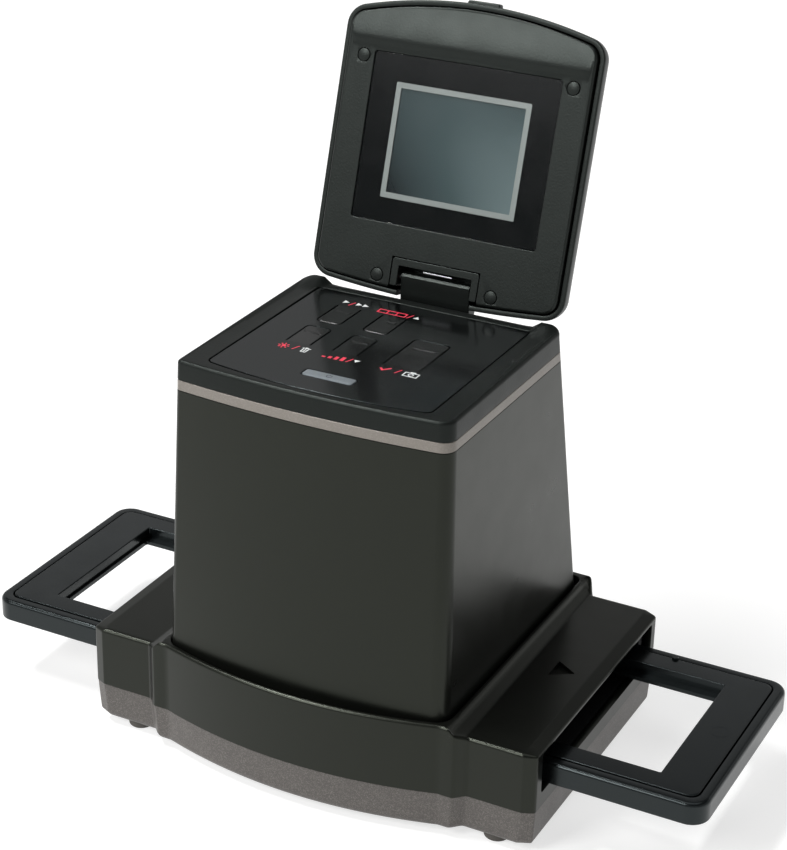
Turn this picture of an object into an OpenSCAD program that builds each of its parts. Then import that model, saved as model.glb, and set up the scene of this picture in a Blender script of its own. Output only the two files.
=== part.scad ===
// Film negative scanner: a base with a sliding film holder, a tower that houses the
// camera above the film, a key panel on top and a flip-up screen behind the panel.
// Origin: on the table, in the middle of the outline. +Z up, -Y the user's side, mm.

/* [Overall] */
// How far the middle of the base lies behind the origin
body_y = -4.4; // [-12:0.1:4]
// How far the screen is opened from lying shut on the panel
lid_angle = 106.7; // [60:0.1:112]
// How far the film holder stands to the right of the middle
holder_x = 1.5; // [-60:0.5:60]

/* [Base shells] */
// Length of the base
base_len = 176.4; // [170:0.2:190]
// How far the wings reach beyond the film slot
wing_margin = 6.9; // [6.5:0.1:11]
// Height of the lower shell
lower_h = 14.5; // [13:0.1:20]
// Height of the upper shell at its wings
upper_h = 23; // [22.6:0.1:28]
// Wall of both shells
base_wall = 2.2; // [1.6:0.1:2.6]
// Thickness of the deck that carries the tower
deck_t = 2.6; // [2:0.1:3]
// Corner cut of the plan, along the length
corner_cut_x = 4.4; // [1:0.1:6]
// Corner cut of the plan, along the depth
corner_cut_y = 2; // [1:0.1:5]
// Drop of the wing tops at their outer ends
wing_drop = 0.8; // [0.2:0.1:1.4]
// Run of that drop
wing_drop_run = 4.6; // [2:0.1:8]
// Draft of the lower shell, per side
lower_draft = 1; // [0.4:0.1:1.4]
// Height of the rounded bottom edge
lower_round = 3.2; // [2:0.1:5]

/* [Front and back of the base] */
// Half width of the shoulders that stand out from the wings
shoulder_x = 62; // [60:0.2:66]
// Run of the curve from wing to shoulder
shoulder_run = 5; // [3:0.1:8]
// How far the shoulders stand out
shoulder_step = 3.6; // [2.4:0.1:6]
// Half width of the bulged stretch
bulge_half = 54; // [48:0.5:56]
// Bulge of the front
front_bulge = 8.4; // [6:0.1:12]
// Bulge of the back
back_bulge = 1; // [0.5:0.1:4]
// How far the shoulders stand out behind the wings
back_step = 7; // [3:0.1:8]
// Half width of the base between its back shoulders
back_shoulder_x = 57.5; // [57:0.1:62]

/* [Collar] */
// Height of the collar above the wings
collar_h = 3.8; // [2:0.1:6]
// Half width of the collar at its ridge
collar_x = 57; // [55:0.1:58.5]
// Run of the slope from ridge to wing
collar_run = 7.5; // [4:0.1:12]
// Thickness of the collar's lip
lip_t = 1.4; // [1:0.1:1.6]
// Thickness of the collar behind the tower
back_lip_t = 3.8; // [2:0.1:5]

/* [Feet] */
// Radius of a foot
foot_r = 4.75; // [3:0.05:5.4]
// Height of a foot below the shell
foot_drop = 2.7; // [1:0.1:6]
// Depth of a foot's seat in the shell
foot_seat = 1.2; // [0.6:0.1:1.6]
// Feet in from the ends of the base
foot_in_x = 15.7; // [12:0.1:24]
// Feet in from the front and back of the wings
foot_in_y = 10.3; // [9.6:0.1:20]

/* [Tower] */
// Height of the tower shell
tower_h = 101.1; // [96:0.1:120]
// Clearance between tower and collar at the sides
trench_side = 1; // [0.5:0.1:2]
// Width of the tower at its top
tower_w_top = 100.6; // [98:0.1:102]
// Clearance between tower and collar at the front
trench_front = 3.6; // [1:0.1:5]
// Reach of the tower's front at its top
tower_f_top = 55.7; // [54:0.1:58]
// Clearance between tower and collar at the back
trench_back = 2.4; // [1:0.1:4]
// Reach of the tower's back at its top
tower_b_top = 38.8; // [38.4:0.1:39.4]
// Bulge of the tower's front at its foot
tower_sag_foot = 5; // [3:0.1:6]
// Bulge of the tower's front at its top
tower_sag_top = 2.3; // [1:0.1:4]
// Corner radius at the foot
tower_r_foot = 6.5; // [5:0.1:9]
// Corner radius at the top
tower_r_top = 3.2; // [2.4:0.1:6]
// Wall of the tower
tower_wall = 2.4; // [1.8:0.1:2.8]

/* [Band and cap] */
// Height of the metallic band
band_h = 3.7; // [2.4:0.1:6]
// Height of the cap
cap_h = 7.2; // [6.8:0.1:9]
// Edge rounding of the cap
cap_round = 1.2; // [0.6:0.1:2]
// Thickness of the cap's shelf under the panel
shelf_t = 2; // [1.6:0.1:2.4]
// Height of the two ears above the cap
ear_h = 2.4; // [0.6:0.1:2.6]
// Gap between the panel's groove and an ear
ear_gap = 0.9; // [0.2:0.1:2]
// Length of an ear's rise
ear_run = 16; // [8:0.5:24]

/* [Key panel] */
// Thickness of the panel
panel_t = 2; // [1.6:0.1:2.2]
// Width of the cap's rim beside the panel
rim_side = 8.5; // [7.4:0.1:10]
// Width of the cap's rim in front of the panel
rim_front = 4.1; // [3.6:0.1:6]
// Width of the cap's rim behind the panel
rim_back = 8.8; // [8:0.1:12]
// Bulge of the panel's front edge
panel_sag = 3.6; // [1:0.1:5]
// Groove round the panel
panel_gap = 0.5; // [0.2:0.05:0.8]

/* [Keys] */
// Width of a small key
key_w = 9; // [7:0.1:10]
// Length of a small key
key_d = 15.6; // [12:0.1:16.4]
// Width of the OK key
ok_w = 13.2; // [10:0.1:15]
// Length of the OK key
ok_d = 23.6; // [18:0.1:25]
// Place of the left column
col_a = -23.3; // [-25:0.1:-22]
// Place of the middle column
col_b = -5.1; // [-6:0.1:-3]
// Place of the OK key
col_c = 17.1; // [16:0.1:20]
// Middle of the back row
row_back = 10.1; // [10:0.1:12]
// Middle of the front row
row_front = -11.1; // [-13:0.1:-10.6]
// Middle of the OK key along the depth
ok_y = -7.8; // [-10:0.1:-6]
// Thickness of a key
key_t = 1.6; // [1.2:0.1:1.6]
// Slit beside a key
key_gap = 0.35; // [0.2:0.05:0.5]
// Clearance at a key's root
root_gap = 0.15; // [0.1:0.05:0.2]
// Width of the power bar
power_w = 19; // [14:0.1:22]
// Depth of the power bar
power_d = 4.6; // [3:0.1:6]
// Middle of the power bar
power_y = -38.9; // [-41:0.1:-36]
// How far the power bar stands proud
power_proud = 0.2; // [0.1:0.05:0.3]
// Free travel of a key above its switch
key_travel = 0.55; // [0.4:0.05:0.6]

/* [Screen hinge] */
// Hinge axis behind the back of the cap
hinge_back = 2.5; // [2.3:0.1:3.2]
// Hinge axis above the top of the cap
hinge_up = 5.8; // [5.6:0.1:6.4]
// Radius of the hinge pin
pin_r = 1.25; // [1:0.05:1.4]
// Running clearance of the pin in the screen
pin_gap = 0.05; // [0.03:0.01:0.08]
// Half width of the hinge block
block_x = 13.8; // [12:0.1:14]
// Clearance between the hinge block and the notch in the screen
notch_gap = 0.7; // [0.4:0.05:1.2]
// Height of the notch above the axis
notch_y = 4.1; // [4:0.1:5]
// Width of the hinge cover's rim
cover_rim = 2.7; // [2:0.1:4]

/* [Screen] */
// How far the screen housing is wider than the tower's top, per side
lid_over = 0.1; // [-1:0.1:2]
// How far the shut screen stands out over the cap's front
lid_front = 2.8; // [2:0.1:6]
// Reach of the housing below the hinge
lid_bottom = 7.2; // [6.8:0.1:7.4]
// Bulge of the top edge
lid_sag_top = 5.2; // [3:0.1:7]
// Bulge of the bottom edge
lid_sag_low = 2; // [1.6:0.1:3]
// Corner radius of the housing
lid_r = 8; // [6:0.1:10]
// Front face of the bezel in front of the axis
bezel_z = 3.8; // [3.7:0.1:4]
// Front of the rear shell's rim in front of the axis
rim_z = 0.6; // [0.2:0.1:1]
// Back of the housing behind the axis
back_z = 8; // [7:0.1:10]
// Wall of the rear shell
lid_wall = 2; // [1.6:0.1:2.4]
// Width of the rear shell's rim
rim_w = 2.5; // [2.2:0.1:3]
// Groove between rim and bezel
bezel_gap = 0.4; // [0.2:0.05:0.6]
// Face thickness of the bezel
bezel_t = 1.8; // [1.4:0.1:2]
// Swell of the bezel above the window
swell_h = 1.3; // [0.4:0.1:1.4]
// Length of the swell
swell_w = 18; // [12:0.5:20]
// Half width of the finger tab
tab_x = 6.65; // [4:0.1:9]
// How far the finger tab stands out
tab_out = 1.1; // [0.5:0.1:2]

/* [Display] */
// Window beyond the visible picture, at the sides
win_side = 12; // [9:0.1:13]
// Window beyond the visible picture, above and below
win_over = 11.2; // [9:0.1:13]
// Middle of the window above the middle of the display
win_up = 0.5; // [0:0.1:2]
// Thickness of the window
win_t = 1; // [0.8:0.1:1.2]
// Middle of the display above the middle of the housing
lcd_up = 1.6; // [0:0.1:3]
// Width of the visible picture
lcd_w = 48.96; // [46:0.02:50]
// Height of the visible picture
lcd_h = 37.4; // [36:0.1:38.4]
// Width of the pale frame
frame_w = 2; // [1:0.1:3]
// Border of the display glass beyond the picture
lcd_edge = 5; // [4:0.1:5.6]
// Thickness of the display
lcd_t = 2.2; // [1.6:0.1:2.4]

/* [Film holder] */
// Length of the film holder
holder_len = 284.4; // [280:0.2:300]
// Depth of the film holder
holder_d = 88.6; // [86:0.2:88.6]
// Thickness of the film holder
holder_t = 8.6; // [7.6:0.1:8.6]
// Corner radius of the film holder
holder_r = 7; // [4:0.1:10]
// Width of the rim round the cover
holder_rim = 4; // [3:0.1:5]
// Groove between rim and cover
cover_gap = 0.4; // [0.2:0.05:0.6]
// Height of the film above the holder's underside
film_h = 4.5; // [3.6:0.1:4.8]
// Side of a picture gate
gate = 56; // [54:0.2:56.6]
// Distance between two gates
gate_pitch = 62; // [61:0.2:63]
// Number of gates
gate_n = 4; // [2:1:4]
// Width of the film
film_w = 61.8; // [61:0.1:62]
// Margin of the cover's windows round a picture
cover_margin = 1; // [0.5:0.1:1.4]

/* [Film slot] */
// Clearance between holder and slot at rest
slide_gap = 0.3; // [0.2:0.05:0.4]
// Height of the slot
slot_h = 14.3; // [13:0.1:14.6]
// Clearance beside the rails
slot_side = 1.2; // [0.6:0.1:2]
// Height of the slot above the parting line
slot_up = 6.2; // [5.8:0.1:7]
// Thickness of the film stage
stage_t = 2.5; // [2:0.1:3]
// Wall of a guide rail
rail_w = 3; // [2:0.1:3.4]
// Overhang of a rail's lip over the holder
rail_lip = 1.4; // [1:0.1:2.4]

/* [Light source] */
// Margin of the lit aperture round a picture
aperture_margin = 1; // [0.5:0.1:1.5]
// Light board beyond the lit aperture
led_margin = 7; // [5:0.1:8]
// Height of the light board above the shell floor
led_up = 3; // [2:0.1:3.4]
// Thickness of the circuit boards
board_t = 1.6; // [1:0.1:1.6]
// Wall of the reflector
reflector_wall = 2; // [1.6:0.1:3]
// Thickness of the diffuser
diffuser_t = 2; // [1:0.1:2.4]

/* [Camera] */
// Height of the light tunnel
tunnel_h = 50; // [44:0.5:54]
// Wall of the light tunnel
tunnel_wall = 2; // [1.6:0.1:2.4]
// Thickness of the camera bracket
bracket_t = 3; // [2.4:0.1:4]
// Radius of the lens barrel
lens_r = 8; // [6:0.1:10]
// Length of the lens barrel
lens_len = 16; // [14:0.1:18]
// Side of the lens mount
mount_w = 24; // [23:0.1:28]
// Height of the lens mount
mount_h = 13; // [12.6:0.1:15]
// Height of the posts under the main board
post_h = 24; // [23:0.1:28]

/* [Hidden] */
$fn = 48;
e = 0.01;

// Sizes that follow from those above
rail_y = holder_d / 2 + slide_gap;
slot_y = rail_y + rail_w + slot_side;
wing_d = 2 * (slot_y + wing_margin);
foot_x = base_len / 2 - foot_in_x;
foot_y = wing_d / 2 - foot_in_y;
lip_x = collar_x - lip_t;
lip_f = wing_d / 2 + shoulder_step + front_bulge - 1.2 * lip_t;
lip_b = wing_d / 2 + back_step + back_bulge / 2 - back_lip_t;
tower_w_foot = 2 * (lip_x - trench_side);
tower_f_foot = lip_f - trench_front;
tower_b_foot = lip_b - trench_back;
panel_x = tower_w_top / 2 - rim_side;
panel_f = tower_f_top - rim_front;
panel_b = tower_b_top - rim_back;
ear_x = panel_x + panel_gap + ear_gap;
hinge_y = tower_b_top + hinge_back;
notch_x = block_x + notch_gap;
cover_x = notch_x + cover_rim;
cover_y = notch_y + cover_rim;
lid_x = tower_w_top / 2 + lid_over;
lid_top = hinge_y + tower_f_top + lid_front;
lcd_mid = (lid_top - lid_bottom) / 2 + lcd_up;
win_x = lcd_w / 2 + win_side;
win_h = lcd_h + 2 * win_over;
win_mid = lcd_mid + win_up;
cover_win_x = gate + 2 * cover_margin;
cover_win_y = film_w + cover_margin;
aperture = gate + 2 * aperture_margin;
led_board = aperture + 2 * led_margin;

// Levels above the table
z_shell = foot_drop;
z_floor = z_shell + base_wall;
z_part = z_shell + lower_h;
z_wing = z_part + upper_h;
z_deck = z_wing - deck_t;
z_ridge = z_wing + collar_h;
z_band = z_wing + tower_h;
z_cap = z_band + band_h;
z_top = z_cap + cap_h;
z_panel = z_top - panel_t;
z_shelf = z_panel - shelf_t;
z_hinge = z_top + hinge_up;
z_slot = z_part + slot_up;
z_holder = z_slot + slide_gap;
z_film = z_holder + film_h;
z_holder_top = z_holder + holder_t;
z_stage = z_slot - stage_t;

// Colours
black = [0.1, 0.1, 0.11];
soft_black = [0.14, 0.145, 0.14];
gloss = [0.05, 0.05, 0.055];
taupe = [0.42, 0.38, 0.37];
steel = [0.7, 0.7, 0.72];
board_green = [0.1, 0.35, 0.22];
pale = [0.9, 0.9, 0.88];

function blend(a, b, t) = a + (b - a) * t;
function smooth(t) = let (c = max(0, min(1, t))) c * c * (3 - 2 * c);
function flip(list) = [for (i = [len(list) - 1 : -1 : 0]) list[i]];
function arc(cx, cy, r, from, to, n) =
    [for (i = [0 : n]) let (a = blend(from, to, i / n)) [cx + r * cos(a), cy + r * sin(a)]];

// Rounded rectangle whose lower and upper edges may bulge outwards. lo and hi are the
// extreme edges, sag_lo and sag_hi how far they stand out beyond their corners.
function edge_tilt(hw, r, sag) = atan(2 * sag / (hw - r));
function edge_x(hw, r, sag) = hw - r + r * sin(edge_tilt(hw, r, sag));
function edge_rise(hw, r, sag, x) =
    let (x0 = edge_x(hw, r, sag)) tan(edge_tilt(hw, r, sag)) * x * x / (2 * x0);
function corner_up(hw, r, sag) =
    edge_rise(hw, r, sag, edge_x(hw, r, sag)) + r * cos(edge_tilt(hw, r, sag));
function lower_half(hw, r, sag, n, m) = let (d = edge_tilt(hw, r, sag), x0 = edge_x(hw, r, sag))
    concat(
        arc(r - hw, corner_up(hw, r, sag), r, 180, 270 - d, m),
        [for (i = [1 : n - 1]) let (x = blend(-x0, x0, i / n)) [x, edge_rise(hw, r, sag, x)]],
        arc(hw - r, corner_up(hw, r, sag), r, 270 + d, 360, m)
    );
function soft_rect(hw, lo, hi, r_lo, r_hi, sag_lo = 0, sag_hi = 0, n = 12, m = 5) = concat(
    [for (p = lower_half(hw, r_lo, sag_lo, n, m)) [p[0], lo + p[1]]],
    [for (p = lower_half(hw, r_hi, sag_hi, n, m)) [-p[0], hi - p[1]]]
);

// Plan of the base, drawn in by i on every side.
function edge_out(x, bulge, step, half, i) = wing_d / 2 - i
    + step * smooth((half + shoulder_run - i - abs(x)) / shoulder_run)
    + bulge * max(0, 1 - pow(x / bulge_half, 2));
function edge_xs(half, i) = let (a = half - i, b = base_len / 2 - i - corner_cut_x) concat(
    [-b],
    [for (k = [0 : 5]) -a - shoulder_run * (1 - k / 5)],
    [for (k = [0 : 20]) blend(-bulge_half, bulge_half, k / 20)],
    [for (k = [0 : 5]) a + shoulder_run * k / 5],
    [b]
);
function base_plan(i = 0) = let (h = base_len / 2 - i, c = wing_d / 2 - i - corner_cut_y) concat(
    [[-h, -c]],
    [for (x = edge_xs(shoulder_x, i)) [x, -edge_out(x, front_bulge, shoulder_step, shoulder_x, i)]],
    [[h, -c], [h, c]],
    [for (x = flip(edge_xs(back_shoulder_x, i)))
        [x, edge_out(x, back_bulge, back_step, back_shoulder_x, i)]],
    [[-h, c]]
);

// Cross-section of the tower at height z, drawn in by i on every side.
function tower_plan(z, i = 0) = let (t = (z - z_wing) / tower_h) soft_rect(
    blend(tower_w_foot, tower_w_top, t) / 2 - i,
    -blend(tower_f_foot, tower_f_top, t) + i,
    blend(tower_b_foot, tower_b_top, t) - i,
    max(blend(tower_r_foot, tower_r_top, t) - i, 1),
    max(blend(tower_r_foot, tower_r_top, t) / 2 - i, 0.8),
    blend(tower_sag_foot, tower_sag_top, t)
);

// Inner edge of the collar's lip
function trench_plan() = soft_rect(
    lip_x, -lip_f, lip_b,
    tower_r_foot, tower_r_foot / 2,
    front_bulge - lip_t / 2
);

// Outline of the screen housing in its own frame, drawn in by i on every side.
function lid_plan(i = 0) = soft_rect(
    lid_x - i, i - lid_bottom, lid_top - i, lid_r - i, lid_r - i, lid_sag_low, lid_sag_top, 16, 6
);

// Solid through a stack of outlines that have the same number of points. Each outline
// runs along the front from left to right and back again, so its ends close in strips.
module loft(plans, heights) {
    n = len(plans[0]);
    last = len(plans) - 1;
    points = [for (k = [0 : last]) for (p = plans[k]) [p[0], p[1], heights[k]]];
    sides = [for (k = [0 : last - 1]) for (i = [0 : n - 1]) let (j = (i + 1) % n)
        each [[k * n + i, (k + 1) * n + j, k * n + j], [k * n + i, (k + 1) * n + i, (k + 1) * n + j]]];
    strips = [for (i = [0 : n / 2 - 2]) [i, i + 1, n - 2 - i, n - 1 - i]];
    roof = [for (s = strips) [for (k = [3 : -1 : 0]) last * n + s[k]]];
    polyhedron(points, concat(strips, roof, sides), convexity = 6);
}

module prism(plan, z, h) {
    translate([0, 0, z]) linear_extrude(h, convexity = 6) polygon(plan);
}

// Box from its middle in x and y, standing on z.
module block(x, y, z, w, d, h) {
    translate([x - w / 2, y - d / 2, z]) cube([w, d, h]);
}

module rod(x, y, z, r, h) {
    translate([x, y, z]) cylinder(r = r, h = h);
}

// Profile in y and z, extruded along x between x0 and x1.
module side_profile(points, x0, x1) {
    translate([x0, 0, 0]) rotate([90, 0, 90]) linear_extrude(x1 - x0) polygon(points);
}

// Profile in x and z, extruded along the whole depth.
module end_profile(points, depth) {
    translate([0, depth / 2, 0]) rotate([90, 0, 0]) linear_extrude(depth) polygon(points);
}

module in_base() {
    translate([0, body_y, 0]) children();
}

// The screen's own frame: y runs up the screen from the hinge axis, z out of its face.
module in_screen() {
    in_base() translate([0, hinge_y, z_hinge]) rotate([180 - lid_angle, 0, 0]) children();
}

module in_holder() {
    in_base() translate([holder_x, 0, 0]) children();
}

module four(x, y) {
    for (sx = [-1, 1], sy = [-1, 1]) translate([sx * x, sy * y, 0]) children();
}

// Countersunk-free screw: a head with a shank above it, from z upwards.
module screw_up(x, y, z, head_r, head_h, shank_r, length) {
    rod(x, y, z, head_r, head_h);
    rod(x, y, z + head_h, shank_r, length);
}

/* ---------- base ---------- */

screw_r = 1.4;
screw_head_r = 2.3;
screw_head_h = 1.8;
boss_gap = 0.1;
post_x = base_len / 2 - corner_cut_x - 4.2;
post_y = (slot_y + wing_d / 2 - base_wall) / 2 + 0.15;
post_r = 2.1;
mid_front = wing_d / 2 + 1.5;
mid_back = wing_d / 2 - 1.5;
base_spots = concat(
    [for (sx = [-1, 1], sy = [-1, 1]) [sx * post_x, sy * post_y]],
    [[0, -mid_front], [0, mid_back]]
);
post_top = z_part + 1;
base_shank = 22;

stage_post_x = base_len / 2 - 12;
stage_post_y = holder_d / 2 - 4;
stage_len = base_len - 2 * base_wall - 1.6;
stage_head_r = 2.6;
stage_head_h = 1.4;

z_led = z_floor + led_up;
reflector_z = z_led + board_t;
diffuser_z = z_stage - diffuser_t;
led_post_xy = led_board / 2 - 3;

module lower_shell() in_base() color(taupe) {
    draft = lower_draft + 0.1;
    difference() {
        union() {
            difference() {
                loft(
                    [base_plan(draft + lower_round * 0.75), base_plan(draft + lower_round * 0.3),
                        base_plan(draft), base_plan(0.1)],
                    [z_shell, z_shell + lower_round * 0.3, z_shell + lower_round, z_part]
                );
                prism(base_plan(base_wall + draft), z_floor, lower_h);
            }
            for (p = base_spots) rod(p[0], p[1], z_floor - e, post_r, post_top - z_floor + e);
            four(stage_post_x, stage_post_y) rod(0, 0, z_floor - e, 3, z_stage - z_floor + e);
            four(led_post_xy, led_post_xy) rod(0, 0, z_floor - e, 2.4, led_up + e);
        }
        for (p = base_spots) {
            rod(p[0], p[1], z_shell - 1, screw_r + boss_gap, lower_h + 5);
            rod(p[0], p[1], z_shell - 1, screw_head_r - 0.5, 1 + screw_head_h + e);
        }
        four(foot_x, foot_y) rod(0, 0, z_shell - 1, foot_r + boss_gap, 1 + foot_seat);
        four(stage_post_x, stage_post_y) rod(0, 0, z_stage - 9, screw_r, 10);
    }
}

module upper_form() {
    h = base_len / 2;
    slope = [for (k = [0 : 8]) [collar_x + collar_run * (1 - k / 8), z_wing + collar_h * pow(k / 8, 1.5)]];
    half = concat(
        [[h, z_part], [h, z_wing - wing_drop], [h - wing_drop_run, z_wing]], slope
    );
    end_profile(concat(half, [for (p = flip(half)) [-p[0], p[1]]]), 2 * wing_d);
}

module upper_shell() in_base() color(soft_black) {
    difference() {
        union() {
            difference() {
                intersection() {
                    prism(base_plan(), z_part, upper_h + collar_h + 1);
                    upper_form();
                }
                prism(base_plan(base_wall), z_part - 1, z_deck - z_part + 1);
            }
            for (p = base_spots) rod(p[0], p[1], post_top + 0.2, post_r, z_deck - post_top);
        }
        for (p = base_spots) rod(p[0], p[1], post_top, screw_r, z_deck - post_top - 2);
        prism(trench_plan(), z_wing, collar_h + 1);
        block(0, 0, z_slot, base_len + 2, 2 * slot_y, slot_h);
        block(0, 0, z_deck - 1, aperture, aperture, deck_t + 2);
        four(tower_screw_x, tower_screw_y) rod(0, 0, z_deck - 1, screw_r + boss_gap, deck_t + 2);
        arrow();
    }
}

// Engraved arrow on the right wing
arrow_x = 69.8;
arrow_len = 8.2;
arrow_half = 4.3;
arrow_depth = 0.5;
module arrow() {
    prism([[arrow_x, -arrow_half], [arrow_x + arrow_len, 0], [arrow_x, arrow_half]],
        z_wing - arrow_depth, 1);
}

module feet() in_base() color(black)
    four(foot_x, foot_y) {
        rod(0, 0, 0.6, foot_r, foot_drop + foot_seat - 0.6);
        cylinder(r1 = foot_r - 0.6, r2 = foot_r, h = 0.6);
    }

module base_screws() in_base() color(steel)
    for (p = base_spots) {
        rod(p[0], p[1], z_shell + 0.3, screw_head_r - 0.6, screw_head_h - 0.3);
        rod(p[0], p[1], z_shell + screw_head_h, screw_r, base_shank);
    }

/* ---------- light source ---------- */

module led_board() in_base() color(pale)
    difference() {
        block(0, 0, z_led, led_board, led_board, board_t);
        four(led_post_xy, led_post_xy) rod(0, 0, z_led - 1, 1.1, board_t + 2);
    }

led_n = 5;
led_side = 3;
led_h = 0.8;
led_reach = aperture / 2 - 5;
module leds() in_base() color([1, 0.95, 0.7])
    for (i = [0 : led_n - 1], j = [0 : led_n - 1])
        block(blend(-led_reach, led_reach, i / (led_n - 1)), blend(-led_reach, led_reach, j / (led_n - 1)),
            reflector_z, led_side, led_side, led_h);

reflector_out = aperture + 2 * reflector_wall + 1;
module reflector_box() in_base() color(pale)
    difference() {
        block(0, 0, reflector_z, reflector_out, reflector_out, diffuser_z - reflector_z);
        block(0, 0, reflector_z - 1, aperture + 1, aperture + 1, diffuser_z - reflector_z + 2);
    }

module diffuser() in_base() color([0.95, 0.95, 0.95])
    block(0, 0, diffuser_z, reflector_out, reflector_out, diffuser_t);

/* ---------- film stage ---------- */

rail_top = z_holder_top + slide_gap;
lip_h = 1.4;
ball_x = 40;
ball_r = (stage_t + 0.1) / 2;
ball_z = z_stage + ball_r;
dimple = 0.5;
leaf_reach = 16;

module film_stage() in_base() color(black)
    difference() {
        union() {
            block(0, 0, z_stage, stage_len, 2 * (rail_y + rail_w), stage_t);
            for (s = [-1, 1]) {
                block(0, s * (rail_y + rail_w / 2), z_stage, stage_len, rail_w,
                    rail_top + lip_h - z_stage);
                block(0, s * (rail_y + rail_w / 2 - (rail_lip + slide_gap) / 2), rail_top, stage_len,
                    rail_w + rail_lip + slide_gap, lip_h);
            }
        }
        block(0, 0, z_stage - 1, aperture, aperture, stage_t + 2);
        four(stage_post_x, stage_post_y) {
            rod(0, 0, z_stage - 1, screw_r + boss_gap, stage_t + 2);
            rod(0, 0, z_slot - stage_head_h, stage_head_r + boss_gap, stage_head_h + 1);
        }
        rod(ball_x, stage_post_y, z_stage - 1, ball_r + boss_gap, stage_t + 2);
    }

module stage_screws() in_base() color(steel)
    four(stage_post_x, stage_post_y) {
        rod(0, 0, z_slot - stage_head_h, stage_head_r, stage_head_h);
        rod(0, 0, z_slot - stage_head_h - screw_bite, screw_r, screw_bite + e);
    }

module detent_ball() in_base() color(steel)
    translate([ball_x, stage_post_y, ball_z]) sphere(r = ball_r);

leaf_w = 5;
module detent_spring() in_base() color(steel) {
    block(ball_x + leaf_reach / 2, stage_post_y, z_stage - 0.4, leaf_reach, leaf_w, 0.4);
    rod(ball_x, stage_post_y, z_stage - 0.4, 2.5, 0.4);
    rod(ball_x + leaf_reach, stage_post_y, z_stage - 0.4, 2.5, 0.4);
}

/* ---------- tower ---------- */

tower_screw_y = tower_b_foot - 13;
tower_boss_r = 3.2;
// How deep a boss runs into the wall beside it
boss_root = 0.6;
tower_screw_x = tower_w_foot / 2 - tower_wall - tower_boss_r + boss_root;
// Thread of a screw in its boss
screw_bite = 9;
// Rib that ties a cap boss to the side wall
cap_rib_out = 2.4;
cap_rib_w = 4.4;
tower_boss_h = 14;
cap_screw_x = tower_w_top / 2 - 6;
cap_screw_f = 13.7 - tower_f_top;
cap_screw_b = tower_b_top - 9.8;
cap_boss_r = 2.8;
cap_boss_h = 14;
// Height of the sockets in the back wall above the deck
port_up = 12;
port_w = [8.2, 26, 7];
port_x = [-28, 2, 30];
port_h = [4, 3.4, 6.6];
port_gap = 0.6;
port_cut = 14;

module tower_shell() in_base() color(soft_black)
    difference() {
        union() {
            difference() {
                loft([tower_plan(z_wing), tower_plan(z_band)], [z_wing, z_band]);
                loft([tower_plan(z_wing, tower_wall), tower_plan(z_band, tower_wall)],
                    [z_wing - 1, z_band + 1]);
            }
            four(tower_screw_x, tower_screw_y) {
                rod(0, 0, z_wing, tower_boss_r, tower_boss_h);
            }
            for (s = [-1, 1], y = [cap_screw_f, cap_screw_b]) {
                rod(s * cap_screw_x, y, z_band - cap_boss_h, cap_boss_r, cap_boss_h);
                block(s * (cap_screw_x + cap_rib_out), y, z_band - cap_boss_h, cap_rib_w, tower_wall,
                    cap_boss_h);
            }
        }
        four(tower_screw_x, tower_screw_y) rod(0, 0, z_wing - 1, screw_r, tower_boss_h - 1);
        for (s = [-1, 1], y = [cap_screw_f, cap_screw_b])
            rod(s * cap_screw_x, y, z_band - cap_boss_h - 1, screw_r + boss_gap, cap_boss_h + 2);
        for (k = [0 : 2])
            block(port_x[k], tower_b_foot, z_wing + port_up, port_w[k] + port_gap, port_cut,
                port_h[k] + port_gap);
    }

module tower_screws() in_base() color(steel)
    four(tower_screw_x, tower_screw_y)
        screw_up(0, 0, z_deck - screw_head_h, screw_head_r, screw_head_h, screw_r, deck_t + screw_bite);

module trim_band() in_base() color(taupe)
    difference() {
        loft([tower_plan(z_band), tower_plan(z_cap)], [z_band, z_cap]);
        loft([tower_plan(z_band, tower_wall), tower_plan(z_cap, tower_wall)], [z_band - 1, z_cap + 1]);
    }

// Back edge of the cap, cut down between the ears so that the screen's lower edge passes
cap_cut_y = tower_b_top - 4.2;
cap_cut_z = 3;
module cap_back_cut() {
    side_profile(
        [[cap_cut_y, z_top + e], [tower_b_top + 2, z_top - cap_cut_z - 0.8], [tower_b_top + 2, z_top + 4],
            [cap_cut_y, z_top + 4]],
        -ear_x + 2, ear_x - 2
    );
}

// Ear at the back end of each side rim: rises along y and is rounded over its outer edge
module ear(s) {
    back = tower_b_top - 1.2;
    w = tower_w_top / 2 - cap_round - ear_x;
    rise = [for (k = [0 : 8]) [back - ear_run * (1 - k / 8) - 1.2, z_top + ear_h * smooth(k / 8)]];
    intersection() {
        side_profile(concat(rise, [[back - 0.3, z_top + ear_h * 0.8], [back, z_top], [back, z_top - 1],
            [back - ear_run - 1.2, z_top - 1]]), s > 0 ? ear_x : -ear_x - w, s > 0 ? ear_x + w : -ear_x);
        end_profile([[s * ear_x, z_top - 1], [s * (ear_x + w), z_top - 1], [s * (ear_x + w), z_top],
            [s * (ear_x + w - 0.4), z_top + ear_h * 0.7], [s * (ear_x + w - 1), z_top + ear_h],
            [s * (ear_x + w * 0.72), z_top + ear_h * 0.55], [s * (ear_x + w * 0.4), z_top + ear_h * 0.17],
            [s * ear_x, z_top + 0.05]], 2 * wing_d);
    }
}

panel_hole = panel_gap;
function panel_plan(i) =
    soft_rect(panel_x + i, -panel_f - i, panel_b + i, 2.5 + i, 1.5 + i, panel_sag);

// Keys: middle x, middle y, width, length, side of the root (1 at the back, -1 in front)
keys = [
    [col_a, row_back, key_w, key_d, 1],
    [col_b, row_back, key_w, key_d, 1],
    [col_a, row_front, key_w, key_d, -1],
    [col_b, row_front, key_w, key_d, -1],
    [col_c, ok_y, ok_w, ok_d, -1]
];

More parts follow.
